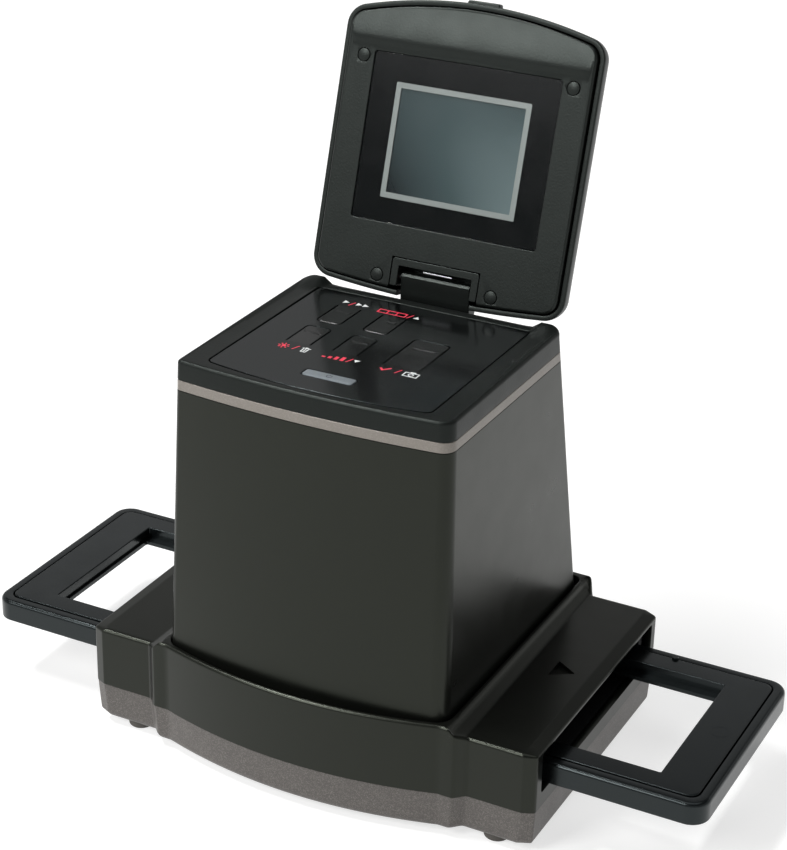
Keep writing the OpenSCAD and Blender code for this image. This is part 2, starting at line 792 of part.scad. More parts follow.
// Opening for a key: the slit on three sides, the root clearance on the fourth
module key_hole(k, z, h, grow = 0) {
    span = k[3] + key_gap + root_gap + 2 * grow;
    block(k[0], k[1] + k[4] * (root_gap - key_gap) / 2, z, k[2] + 2 * key_gap + 2 * grow, span, h);
}

module power_hole(z, h, grow = 0) {
    block(0, power_y, z, power_w + 2 * key_gap + 2 * grow, power_d + 2 * key_gap + 2 * grow, h);
}

stem = 3;
stem_in = 3;
function stem_y(k) = k[1] - k[4] * (k[3] / 2 - stem_in);

hinge_window_x = 10;
hinge_window_h = z_shelf - z_cap - 0.8;
hinge_window_z = z_cap + 0.6;

module top_cap() in_base() color(soft_black)
    difference() {
        union() {
            loft(
                [tower_plan(z_cap), tower_plan(z_top - cap_round),
                    tower_plan(z_top - cap_round * 0.3, cap_round * 0.3),
                    tower_plan(z_top, cap_round)],
                [z_cap, z_top - cap_round, z_top - cap_round * 0.3, z_top]
            );
            ear(1);
            ear(-1);
            for (s = [-1, 1], y = [cap_screw_f, cap_screw_b])
                rod(s * cap_screw_x, y, z_band, cap_boss_r, z_shelf - z_band + e);
            for (s = [-1, 1], y = [board_post_f, board_post_b])
                rod(s * board_post_x, y, z_switch, board_post_r, z_shelf - z_switch + e);
        }
        difference() {
            prism(tower_plan(z_top, tower_wall), z_cap - 1, z_shelf - z_cap + 1);
            for (s = [-1, 1], y = [cap_screw_f, cap_screw_b])
                rod(s * cap_screw_x, y, z_cap - 2, cap_boss_r, cap_h);
            for (s = [-1, 1], y = [board_post_f, board_post_b])
                rod(s * board_post_x, y, z_switch, board_post_r, cap_h);
        }
        for (s = [-1, 1], y = [cap_screw_f, cap_screw_b])
            rod(s * cap_screw_x, y, z_band - 1, screw_r, z_shelf - z_band);
        prism(panel_plan(panel_gap), z_panel, 2 * panel_t);
        cap_back_cut();
        for (k = keys) key_hole(k, z_shelf - 1, shelf_t + 2, 0.2);
        power_hole(z_shelf - 1, shelf_t + 2, 0.2);
        block(0, tower_b_top - tower_wall, hinge_window_z, 2 * hinge_window_x + 2 * boss_gap,
            4 * tower_wall, hinge_window_h + boss_gap);
    }

module cap_screws() in_base() color(steel)
    for (s = [-1, 1], y = [cap_screw_f, cap_screw_b])
        screw_up(s * cap_screw_x, y, z_band - cap_boss_h - screw_head_h, screw_head_r,
            screw_head_h, screw_r, cap_boss_h + z_shelf - z_band - 2);

/* ---------- key panel ---------- */

module key_panel() in_base() color(gloss)
    difference() {
        prism(panel_plan(0), z_panel, panel_t);
        for (k = keys) key_hole(k, z_panel - 1, panel_t + 2);
        power_hole(z_panel - 1, panel_t + 2);
    }

key_board_x = cap_screw_x - cap_boss_r - 3.5;
key_board_f = tower_f_top - 12.7;
key_board_b = tower_b_top - 14.8;
board_post_x = key_board_x - 3;
board_post_f = 3 - key_board_f;
board_post_b = key_board_b - 3;
board_post_r = 2;
switch_w = 6;
switch_h = 3.4;
switch_cap = 0.5;
z_switch = z_shelf - 3.2;
switch_top = z_switch + switch_h + switch_cap;
switch_r = 1.7;

module key_board() in_base() color(board_green)
    translate([-key_board_x, -key_board_f, z_switch - board_t])
        cube([2 * key_board_x, key_board_f + key_board_b, board_t]);

module tact_switch(x, y) {
    block(x, y, z_switch, switch_w, switch_w > 2 * stem_in ? 2 * stem_in : switch_w, switch_h);
    rod(x, y, z_switch + switch_h, switch_r, switch_cap);
}

module tact_switches() in_base() color([0.25, 0.25, 0.27]) {
    for (k = keys) tact_switch(k[0], stem_y(k));
    block(0, power_y, z_switch, switch_w, power_d - 0.4, switch_h);
    rod(0, power_y, z_switch + switch_h, switch_r, switch_cap);
}

// A tongue of the panel, round at its root, with a stem over its switch
module key(k) color(gloss) {
    block(k[0], k[1] - k[4] * key_t / 4, z_top - key_t, k[2], k[3] - key_t / 2, key_t);
    translate([k[0] - k[2] / 2, k[1] + k[4] * (k[3] - key_t) / 2, z_top - key_t / 2]) rotate([0, 90, 0])
        cylinder(r = key_t / 2, h = k[2]);
    block(k[0], stem_y(k), switch_top + key_travel, stem, stem, z_top - key_t - switch_top - key_travel + e);
}

module key_play() in_base() key(keys[0]);
module key_type() in_base() key(keys[1]);
module key_light() in_base() key(keys[2]);
module key_size() in_base() key(keys[3]);
module key_ok() in_base() key(keys[4]);

module power_button() in_base() color([0.72, 0.72, 0.74]) {
    block(0, power_y, switch_top + key_travel, power_w, power_d, z_top - 0.4 - switch_top - key_travel);
    block(0, power_y, z_top - 0.4, power_w - 0.8, power_d - 0.8, 0.4 + power_proud);
}

/* ---------- camera ---------- */

tunnel_out = aperture + 2 * tunnel_wall;
flange = tunnel_out + 10;
flange_t = 2.4;
z_bracket = z_wing + tunnel_h;
z_mount = z_bracket + bracket_t;
z_sensor = z_mount + mount_h;
z_main = z_mount + post_h;
bracket_w = tunnel_out;
main_w = bracket_w + 16;
main_d = bracket_w + 2;
sensor_board_w = mount_w + 14;
sensor_board_d = mount_w + 10;
chips = [[-12, 4, 16, 16, 1.4], [12, 6, 12, 10, 1.2], [14, -12, 10, 8, 1.2], [-16, -16, 8, 6, 1.2]];
main_post = bracket_w / 2 - 3.4;

module light_tunnel() in_base() color(black)
    difference() {
        union() {
            block(0, 0, z_wing, tunnel_out, tunnel_out, tunnel_h);
            block(0, 0, z_wing, flange, flange, flange_t);
        }
        block(0, 0, z_wing - 1, aperture, aperture, tunnel_h + 2);
    }

module camera_bracket() in_base() color(soft_black)
    difference() {
        union() {
            block(0, 0, z_bracket, bracket_w, bracket_w, bracket_t);
            four(main_post, main_post) rod(0, 0, z_mount - e, 2.8, post_h + e);
        }
        rod(0, 0, z_bracket - 1, lens_r + 0.5, bracket_t + 2);
        four(main_post, main_post) rod(0, 0, z_main - 8, 1.1, 9);
    }

module lens_mount() in_base() color(black)
    difference() {
        block(0, 0, z_mount, mount_w, mount_w, mount_h);
        rod(0, 0, z_mount - 1, lens_r + boss_gap, mount_h - 2);
        block(0, 0, z_sensor - 4, 13, 11, 5);
    }

lens_low = z_mount + mount_h - 3 - lens_len;
element_r = lens_r - 1.5;
element_t = 2.6;
element_z = [1, 6, 11.4];
module lens_barrel() in_base() color(black)
    difference() {
        rod(0, 0, lens_low, lens_r, lens_len);
        rod(0, 0, lens_low - 1, element_r, lens_len + 2);
    }

module lens_elements() in_base() color([0.6, 0.7, 0.8])
    for (z = element_z) rod(0, 0, lens_low + z, element_r, element_t);

module ir_filter() in_base() color([0.5, 0.7, 0.75])
    block(0, 0, z_sensor - 2.9, 12.8, 10.8, 1);

module image_sensor() in_base() color([0.2, 0.2, 0.25])
    block(0, 0, z_sensor - 1.4, 10, 8, 1.4);

module sensor_board() in_base() color(board_green)
    block(0, 0, z_sensor, sensor_board_w, sensor_board_d, board_t);

module main_board() in_base() color(board_green)
    difference() {
        block(0, 0, z_main, main_w, main_d, board_t);
        four(main_post, main_post) rod(0, 0, z_main - 1, 1.1, board_t + 2);
    }

module board_chips() in_base() color([0.12, 0.12, 0.13])
    for (c = chips) block(c[0], c[1], z_main + board_t, c[2], c[3], c[4]);

/* ---------- sockets ---------- */

io_y = tower_b_foot - 12.5;
io_h = 24;
// Clearance of the socket board at each side of the tower
io_side = 13.9;
io_w = tower_w_foot - 2 * io_side;
module io_board() in_base() color(board_green)
    block(0, io_y - board_t / 2, z_wing, io_w, board_t, io_h);

// Depth of a socket from the board to just inside the outer face of the back wall
function wall_y(z) = blend(tower_b_foot, tower_b_top, (z - z_wing) / tower_h);
module socket(k, depth_gap, bore_w, bore_h) {
    z = z_wing + port_up + port_gap / 2;
    d = wall_y(z + port_h[k]) - depth_gap - io_y;
    difference() {
        block(port_x[k], io_y + d / 2, z, port_w[k], d, port_h[k]);
        block(port_x[k], io_y + d, z + (port_h[k] - bore_h) / 2, bore_w, 2 * (d - 1.5), bore_h);
    }
}

module usb_socket() in_base() color(steel) socket(0, 0.6, 6.6, 2.8);
module card_socket() in_base() color(steel) socket(1, 0.6, 24.4, 2.2);
module av_jack() in_base() color(black) {
    z = z_wing + port_up + port_gap / 2;
    d = wall_y(z + port_h[2]) - 0.6 - io_y;
    difference() {
        block(port_x[2], io_y + d / 2, z, port_w[2], d, port_h[2]);
        translate([port_x[2], io_y + 1.5, z + port_h[2] / 2]) rotate([-90, 0, 0]) cylinder(r = 1.8, h = d);
    }
}

cable_t = 0.4;
module key_cable() in_base() color(pale)
    block(0, key_board_b - 2, z_main + board_t, 14, cable_t, z_switch - board_t - z_main - board_t);

/* ---------- screen hinge ---------- */

block_front = tower_b_top + 0.2;
block_back = hinge_y + 3.6;
block_top = z_hinge + 2;
block_low = hinge_window_z - 0.4;
tongue_in = 7;
sleeve_r = 2.1;
sleeve_x = [8.6, 12.6];
module hinge_block() in_base() color(soft_black)
    difference() {
        union() {
            side_profile(
                [[block_front, block_low], [block_front + 3, block_low], [block_back - 0.6, block_low + 3.4],
                    [block_back, z_hinge], [block_back - 1, block_top - 0.4], [block_back - 2, block_top],
                    [block_front + 0.5, block_top], [block_front, block_top - 0.5]],
                -block_x, block_x
            );
            block(0, block_front - tongue_in / 2 + 0.5, hinge_window_z + boss_gap, 2 * hinge_window_x,
                tongue_in + 1, hinge_window_h - 2 * boss_gap);
        }
        translate([-block_x - 1, hinge_y, z_hinge]) rotate([0, 90, 0])
            cylinder(r = pin_r, h = 2 * block_x + 2);
        for (s = [-1, 1])
            translate([s > 0 ? sleeve_x[0] : -sleeve_x[1], hinge_y, z_hinge]) rotate([0, 90, 0])
                cylinder(r = sleeve_r, h = sleeve_x[1] - sleeve_x[0]);
    }

module screen_cable() in_base() color(pale)
    block(-20, key_board_b + 1, z_main + board_t, 10, cable_t, z_shelf - z_main - board_t - 0.3);

module hinge_pin() in_base() color(steel)
    translate([0.2 - cover_x, hinge_y, z_hinge]) rotate([0, 90, 0])
        cylinder(r = pin_r, h = 2 * cover_x - 0.4);

module hinge_sleeves() in_base() color(steel)
    for (s = [-1, 1])
        translate([s > 0 ? sleeve_x[0] : -sleeve_x[1], hinge_y, z_hinge]) rotate([0, 90, 0])
            difference() {
                cylinder(r = sleeve_r, h = sleeve_x[1] - sleeve_x[0]);
                translate([0, 0, -1]) cylinder(r = pin_r, h = sleeve_x[1] - sleeve_x[0] + 2);
            }

cover_low = 3.4;
cover_back = 3.4;
module hinge_cover() in_screen() color(soft_black)
    difference() {
        translate([-cover_x, -cover_low, -cover_back])
            cube([2 * cover_x, cover_low + cover_y, cover_back + bezel_z]);
        translate([-notch_x, -cover_low - 1, -cover_back - 1])
            cube([2 * notch_x, cover_low + 1 + notch_y, cover_back + bezel_z + 2]);
        translate([-cover_x - 1, 0, 0]) rotate([0, 90, 0])
            cylinder(r = pin_r + pin_gap, h = 2 * cover_x + 2);
    }

leaf_x = 6.2;
leaf_t = 0.5;
module hinge_leaf() in_screen() color(steel)
    translate([-leaf_x, notch_y - leaf_t, -2]) cube([2 * leaf_x, leaf_t, 4.2]);

/* ---------- screen ---------- */

bezel_in = rim_w + bezel_gap;
plug_r = 2.3;
// Plug clear of the window's side and below its upper edge
plug_side = 2.12;
plug_down = 2.1;
plug_top = [win_x + plug_side + plug_r, win_mid + win_h / 2 - plug_down];
plug_low = [cover_x + 3.2 + plug_r, -0.6];
plug_seat = 1.2;
plugs = [for (s = [-1, 1]) for (p = [plug_top, plug_low]) [s * p[0], p[1]]];
lid_boss_r = 3.2;
lid_screw_r = 1;
lid_head_r = 2;
back_floor = -back_z + lid_wall;
boss_top = 0.1;

module screen_back() in_screen() color(soft_black)
    difference() {
        union() {
            difference() {
                union() {
                    loft(
                        [lid_plan(4), lid_plan(1.6), lid_plan(0.4), lid_plan(0), lid_plan(0), lid_plan(0.3)],
                        [-back_z, -back_z + 1, -back_z + 2.8, -back_z + 5, rim_z - 0.4, rim_z]
                    );
                    translate([-tab_x, lid_top - 4, -back_z + 2.8])
                        cube([2 * tab_x, 4 + tab_out, back_z - 4.8]);
                }
                prism(lid_plan(rim_w), back_floor + 1.5, back_z + 3);
                prism(lid_plan(rim_w + 1.5), back_floor, back_z + 3);
            }
            for (p = plugs) rod(p[0], p[1], back_floor - e, lid_boss_r, boss_top - back_floor + e);
        }
        for (p = plugs) rod(p[0], p[1], back_floor, lid_screw_r, back_z + 2);
        translate([-notch_x, -lid_bottom - 2, -back_z - 1])
            cube([2 * notch_x, lid_bottom + 2 + notch_y, back_z + 4]);
        translate([-cover_x - boss_gap, -cover_low - boss_gap, -cover_back - boss_gap])
            cube([2 * cover_x + 2 * boss_gap, cover_low + cover_y + 2 * boss_gap, 20]);
    }

bezel_low = 0.2;
module screen_bezel() in_screen() color(soft_black)
    difference() {
        union() {
            loft(
                [lid_plan(bezel_in), lid_plan(bezel_in), lid_plan(bezel_in + 0.4), lid_plan(bezel_in + 1.2)],
                [bezel_low, bezel_z - 1, bezel_z - 0.4, bezel_z]
            );
            intersection() {
                swell_roll();
                prism(lid_plan(bezel_in + 1.2), bezel_z - 0.5, swell_h + 1);
            }
        }
        difference() {
            prism(lid_plan(bezel_in + 1.6), bezel_low - 1, bezel_z - bezel_t - bezel_low + 1);
            for (p = plugs) rod(p[0], p[1], bezel_low - 1, lid_boss_r, bezel_z);
        }
        for (p = plugs) {
            rod(p[0], p[1], bezel_low - 1, lid_screw_r + boss_gap, bezel_z + 2);
            rod(p[0], p[1], bezel_z - plug_seat - 0.6, plug_r, plug_seat + 1);
        }
        translate([-win_x - boss_gap, win_mid - win_h / 2 - boss_gap, bezel_z - win_t - 0.1])
            cube([2 * win_x + 2 * boss_gap, win_h + 2 * boss_gap, win_t + 1]);
        translate([-lcd_w / 2 - frame_w - 2, lcd_mid - lcd_h / 2 - frame_w - 2, bezel_low - 1])
            cube([lcd_w + 2 * frame_w + 4, lcd_h + 2 * frame_w + 4, bezel_z + 2]);
        translate([-cover_x - boss_gap, -cover_low - boss_gap, bezel_low - 1])
            cube([2 * cover_x + 2 * boss_gap, cover_low + cover_y + 2 * boss_gap, bezel_z + 2]);
        translate([-notch_x, -lid_bottom - 2, bezel_low - 1])
            cube([2 * notch_x, lid_bottom + 2 + notch_y, bezel_z + 2]);
    }

// Roll across the bezel above the window: a cylinder that rises swell_h over swell_w
module swell_roll() {
    r = (swell_w * swell_w / 4 + swell_h * swell_h) / (2 * swell_h);
    mid = win_mid + win_h / 2 + 1 + swell_w / 2;
    translate([-lid_x, mid, bezel_z + swell_h - r]) rotate([0, 90, 0])
        cylinder(r = r, h = 2 * lid_x, $fn = 96);
}

module screen_window() in_screen() color([0.1, 0.12, 0.14, 0.6])
    translate([-win_x, win_mid - win_h / 2, bezel_z - win_t - 0.1]) cube([2 * win_x, win_h, win_t]);

mask_t = 0.2;
mask_z = bezel_z - win_t - 0.1 - mask_t;
module lcd_frame() in_screen() color([0.75, 0.77, 0.76])
    difference() {
        translate([-lcd_w / 2 - frame_w, lcd_mid - lcd_h / 2 - frame_w, mask_z])
            cube([lcd_w + 2 * frame_w, lcd_h + 2 * frame_w, mask_t]);
        translate([-lcd_w / 2, lcd_mid - lcd_h / 2, mask_z - 1]) cube([lcd_w, lcd_h, mask_t + 2]);
    }

lcd_z = min(mask_z, bezel_z - bezel_t - 0.1) - lcd_t;
module lcd_panel() in_screen() color([0.4, 0.45, 0.45]) {
    translate([-lcd_w / 2 - lcd_edge, lcd_mid - lcd_h / 2 - lcd_edge, lcd_z])
        cube([lcd_w + 2 * lcd_edge, lcd_h + 2 * lcd_edge, lcd_t]);
    translate([-lcd_w / 2 - 0.5, lcd_mid - lcd_h / 2 - 0.5, lcd_z])
        cube([lcd_w + 1, lcd_h + 1, mask_z - lcd_z]);
}

screen_board_w = lcd_w + 19;
screen_board_h = lcd_h + 10.6;
screen_board_t = 1.2;
module screen_board() in_screen() color(board_green)
    translate([-screen_board_w / 2, lcd_mid - lcd_h / 2 - 7.3, lcd_z - screen_board_t])
        cube([screen_board_w, screen_board_h, screen_board_t]);

module screen_screws() in_screen() color(steel)
    for (p = plugs) {
        rod(p[0], p[1], bezel_z - plug_seat - 0.6, lid_head_r, 0.9);
        rod(p[0], p[1], back_floor + 0.8, lid_screw_r, bezel_z - plug_seat - 0.6 - back_floor - 0.8 + e);
    }

module screw_plugs() in_screen() color(black)
    for (p = plugs) {
        rod(p[0], p[1], bezel_z - plug_seat + 0.3, plug_r, plug_seat - 0.3);
        translate([p[0], p[1], bezel_z]) cylinder(r1 = plug_r, r2 = plug_r - 0.7, h = 0.5);
    }

/* ---------- film holder ---------- */

cover_len = holder_len - 2 * holder_rim - 2 * cover_gap;
cover_d = holder_d - 2 * holder_rim - 2 * cover_gap;
rim_drop = 0.3;
first_gate = -gate_pitch * (gate_n - 1) / 2;
film_seat = 0.2;
film_gap = 0.2;
// Lugs of the cover outward of the last gate
lug_out = 6.5;
lug_x = lug_out - first_gate;
lug_w = 5;
holder_pin_r = 0.8;
// Half the length of a cover pin
pin_half = 4.8;
knuckle_r = 1.3;
knuckle_gap = 0.3;
holder_pin_y = holder_d / 2 - knuckle_r - knuckle_gap - 0.7;
holder_pin_z = z_holder_top - 2;
lug_cut_f = holder_d / 2 - holder_rim - 1;
lug_cut_b = holder_pin_y + knuckle_r + knuckle_gap;

module round_plate(w, d, r, z, h) {
    prism(soft_rect(w / 2, -d / 2, d / 2, r, r, 0, 0, 1, 8), z, h);
}

module film_holder_base() in_holder() color(black)
    difference() {
        union() {
            difference() {
                union() {
                    round_plate(holder_len, holder_d, holder_r, z_holder, holder_t - rim_drop - 0.6);
                    round_plate(holder_len - 1, holder_d - 1, holder_r - 0.5, z_holder + 1,
                        holder_t - rim_drop - 1);
                }
                round_plate(cover_len + 2 * cover_gap, cover_d + 2 * cover_gap, holder_r - holder_rim + 1,
                    z_film, holder_t);
            }
        }
        block(0, 0, z_film - film_seat, gate_n * gate_pitch, film_w + film_gap, 1);
        for (k = [0 : gate_n - 1]) {
            block(first_gate + k * gate_pitch, 0, z_holder - 1, gate, gate, film_h + 2);
            translate([ball_x + first_gate + k * gate_pitch, stage_post_y, z_holder - ball_r + dimple])
                sphere(r = ball_r);
        }
        for (s = [-1, 1]) {
            block(s * lug_x, (lug_cut_f + lug_cut_b) / 2, z_film, lug_w + 2 * knuckle_gap,
                lug_cut_b - lug_cut_f, holder_t);
            translate([s * lug_x - 5, holder_pin_y, holder_pin_z]) rotate([0, 90, 0])
                cylinder(r = holder_pin_r, h = 10);
        }
    }

module film_holder_cover() in_holder() color(soft_black)
    difference() {
        union() {
            round_plate(cover_len, cover_d, holder_r - holder_rim + 0.6, z_film, holder_t - film_h - 0.3);
            round_plate(cover_len - 0.6, cover_d - 0.6, holder_r - holder_rim + 0.3, z_film,
                holder_t - film_h);
            for (s = [-1, 1]) {
                block(s * lug_x, holder_pin_y - holder_rim / 2, holder_pin_z - knuckle_r, lug_w, holder_rim,
                    2 * knuckle_r);
                translate([s * lug_x - lug_w / 2, holder_pin_y, holder_pin_z]) rotate([0, 90, 0])
                    cylinder(r = knuckle_r, h = lug_w);
            }
        }
        for (k = [0 : gate_n - 1])
            block(first_gate + k * gate_pitch, 0, z_film - 1, cover_win_x, cover_win_y, holder_t);
        for (s = [-1, 1])
            translate([s * lug_x - pin_half - 0.2, holder_pin_y, holder_pin_z]) rotate([0, 90, 0])
                cylinder(r = holder_pin_r + pin_gap, h = 2 * pin_half + 0.4);
    }

module holder_hinge_pins() in_holder() color(steel)
    for (s = [-1, 1])
        translate([s * lug_x - pin_half, holder_pin_y, holder_pin_z]) rotate([0, 90, 0])
            cylinder(r = holder_pin_r, h = 2 * pin_half);

lower_shell();
upper_shell();
feet();
base_screws();
led_board();
leds();
reflector_box();
diffuser();
film_stage();
stage_screws();
detent_ball();
detent_spring();
light_tunnel();
camera_bracket();
lens_barrel();
lens_elements();
lens_mount();
ir_filter();
image_sensor();
sensor_board();
main_board();
board_chips();
io_board();
usb_socket();
card_socket();
av_jack();
tower_shell();
tower_screws();
trim_band();
top_cap();
cap_screws();
key_panel();
key_board();
tact_switches();
key_play();
key_type();
key_light();
key_size();
key_ok();
power_button();
key_cable();
screen_cable();
hinge_block();
hinge_pin();
hinge_sleeves();
hinge_cover();
hinge_leaf();
screen_back();
screen_bezel();
screen_window();
lcd_frame();
lcd_panel();
screen_board();
screen_screws();
screw_plugs();
film_holder_base();
film_holder_cover();
holder_hinge_pins();
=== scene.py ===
"""Film negative scanner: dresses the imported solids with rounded, textured pieces.

Lengths are millimetres in the part's own places and metres once a piece is made. The
base place has its origin on the table in the middle of the base, the holder place
slides with the film holder, and the screen place has its origin on the hinge axis with
+Y up the open screen and +Z out of its face.
"""

import logging
import math
from dataclasses import dataclass
from enum import Enum
from typing import Any, Callable, Sequence

import bmesh
import bpy
import numpy as np
from mathutils import Matrix, Vector
from mathutils.geometry import delaunay_2d_cdt


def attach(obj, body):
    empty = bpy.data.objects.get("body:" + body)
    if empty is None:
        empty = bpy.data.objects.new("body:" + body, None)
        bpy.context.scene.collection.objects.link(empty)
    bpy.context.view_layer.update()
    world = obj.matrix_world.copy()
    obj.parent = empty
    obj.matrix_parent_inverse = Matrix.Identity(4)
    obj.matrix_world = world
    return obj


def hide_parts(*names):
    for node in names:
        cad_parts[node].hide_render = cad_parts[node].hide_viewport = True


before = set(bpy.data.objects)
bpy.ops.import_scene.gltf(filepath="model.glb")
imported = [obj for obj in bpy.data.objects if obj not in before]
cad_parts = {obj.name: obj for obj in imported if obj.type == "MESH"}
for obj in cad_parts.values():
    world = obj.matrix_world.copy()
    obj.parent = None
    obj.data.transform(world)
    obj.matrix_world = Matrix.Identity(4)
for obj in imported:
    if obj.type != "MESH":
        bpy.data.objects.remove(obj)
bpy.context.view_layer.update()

LOG = logging.getLogger("film_scanner")
MM = 0.001
WELD = 0.002 * MM

Loop = Callable[[float], np.ndarray]
Height = Callable[[np.ndarray, np.ndarray], np.ndarray]


# ---------------------------------------------------------------- shared sizes


@dataclass(frozen=True)
class Stack:
    """Heights above the table, and where the three places lie."""

    shell: float = 2.7
    floor: float = 4.9
    part: float = 17.2
    slot: float = 23.4
    slot_top: float = 37.5
    holder: float = 23.7
    film: float = 28.2
    deck: float = 37.6
    wing: float = 40.2
    ridge: float = 44.0
    band: float = 141.3
    cap: float = 145.0
    shelf: float = 148.2
    panel: float = 150.2
    top: float = 152.2
    hinge: float = 158.0
    body_y: float = -4.4
    holder_x: float = 1.5
    hinge_y: float = 41.3
    open_angle: float = 106.7


STACK = Stack()


class Place(Enum):
    """The part's own places, each a turn about X and a shift."""

    BASE = (0.0, STACK.body_y, 0.0, 0.0)
    HOLDER = (STACK.holder_x, STACK.body_y, 0.0, 0.0)
    SCREEN = (0.0, STACK.body_y + STACK.hinge_y, STACK.hinge, 180.0 - STACK.open_angle)

    def to_row(self, points: np.ndarray) -> np.ndarray:
        """Turns points in this place into metres in the row frame.

        Args:
            points: (n, 3) array in millimetres.

        Returns:
            (n, 3) array in metres: turned about X, then shifted.
        """
        x, y, z, angle = self.value
        turn = math.radians(angle)
        c, s = math.cos(turn), math.sin(turn)
        spin = np.array([[1, 0, 0], [0, c, -s], [0, s, c]])
        return (points @ spin.T + np.array([x, y, z])) * MM


# ---------------------------------------------------------------- outlines


def smooth(t: np.ndarray) -> np.ndarray:
    """Eased step: t squared times (3 - 2t), with t held between 0 and 1."""
    c = np.clip(t, 0, 1)
    return c * c * (3 - 2 * c)


def arc(cx: float, cy: float, r: float, start: float, end: float, steps: int) -> np.ndarray:
    """Points on a circle: centre + r (cos a, sin a), a from start to end in degrees."""
    a = np.radians(np.linspace(start, end, steps + 1))
    return np.stack([cx + r * np.cos(a), cy + r * np.sin(a)], 1)


def fillet(a: Sequence[float], p: Sequence[float], b: Sequence[float], r: float, steps: int) -> np.ndarray:
    """Rounds the corner a-p-b by the circle of radius r that touches both edges.

    The arc starts and ends r tan(turn / 2) away from the corner.

    Args:
        a: point before the corner.
        p: the corner.
        b: point after the corner.
        r: radius.
        steps: number of segments.

    Returns:
        (steps + 1, 2) array of points.
    """
    a, p, b = (np.asarray(v, float) for v in (a, p, b))
    u = (p - a) / np.linalg.norm(p - a)
    v = (b - p) / np.linalg.norm(b - p)
    turn = math.atan2(u[0] * v[1] - u[1] * v[0], float(u @ v))
    reach = r * math.tan(abs(turn) / 2)
    side = math.copysign(1, turn)
    centre = p - u * reach + side * r * np.array([-u[1], u[0]])
    start = math.degrees(math.atan2(*(p - u * reach - centre)[::-1]))
    return arc(centre[0], centre[1], r, start, start + math.degrees(turn), steps)


def rounded(corners: Sequence[Sequence[float]], r: float | Sequence[float], steps: int = 5) -> np.ndarray:
    """Closed polygon with each corner rounded, radius r or one for each corner.

    Args:
        corners: corner points in order.
        r: radius, or a list with one for each corner.
        steps: segments in each corner.

    Returns:
        The loop (n, 2).
    """
    n = len(corners)
    radii = [r] * n if isinstance(r, (int, float)) else list(r)
    return np.concatenate(
        [fillet(corners[k - 1], corners[k], corners[(k + 1) % n], radii[k], steps) for k in range(n)]
    )


def drawn_in(loop: np.ndarray, inset: float) -> np.ndarray:
    """Moves each point inwards along its bisector: 2 inset m / |m|^2, m the sum of the
    inward unit normals of the two edges that meet there.

    Args:
        loop: closed polygon, anticlockwise.
        inset: distance inwards.

    Returns:
        The loop with as many points.
    """
    before = loop - np.roll(loop, 1, 0)
    after = np.roll(loop, -1, 0) - loop
    n1, n2 = (
        np.stack([-d[:, 1], d[:, 0]], 1) / np.linalg.norm(d, axis=1, keepdims=True) for d in (before, after)
    )
    m = n1 + n2
    return loop + 2 * inset * m / (m * m).sum(1, keepdims=True)


@dataclass(frozen=True)
class Polygon:
    """A closed outline, anticlockwise, that is drawn in along its bisectors."""

    loop: np.ndarray

    def __call__(self, inset: float = 0.0) -> np.ndarray:
        """The outline, drawn in by inset."""
        return drawn_in(self.loop, inset)


def ring(x: float, y: float, r: float, steps: int = 40) -> Loop:
    """Circle about (x, y) whose radius shrinks by the inset."""
    return lambda inset=0.0: arc(x, y, r - inset, 0, 360, steps)[:-1]


def oblong(x: float, y: float, w: float, d: float, r: float, steps: int = 5) -> Loop:
    """Rectangle about (x, y) with rounded corners.

    Args:
        x: its middle.
        y: its middle.
        w: width.
        d: depth.
        r: corner radius.
        steps: segments in each corner.

    Returns:
        The outline, which takes an inset.
    """
    corners = [(x + a * w / 2, y + b * d / 2) for a, b in ((-1, -1), (1, -1), (1, 1), (-1, 1))]
    return Polygon(rounded(corners, r, steps))


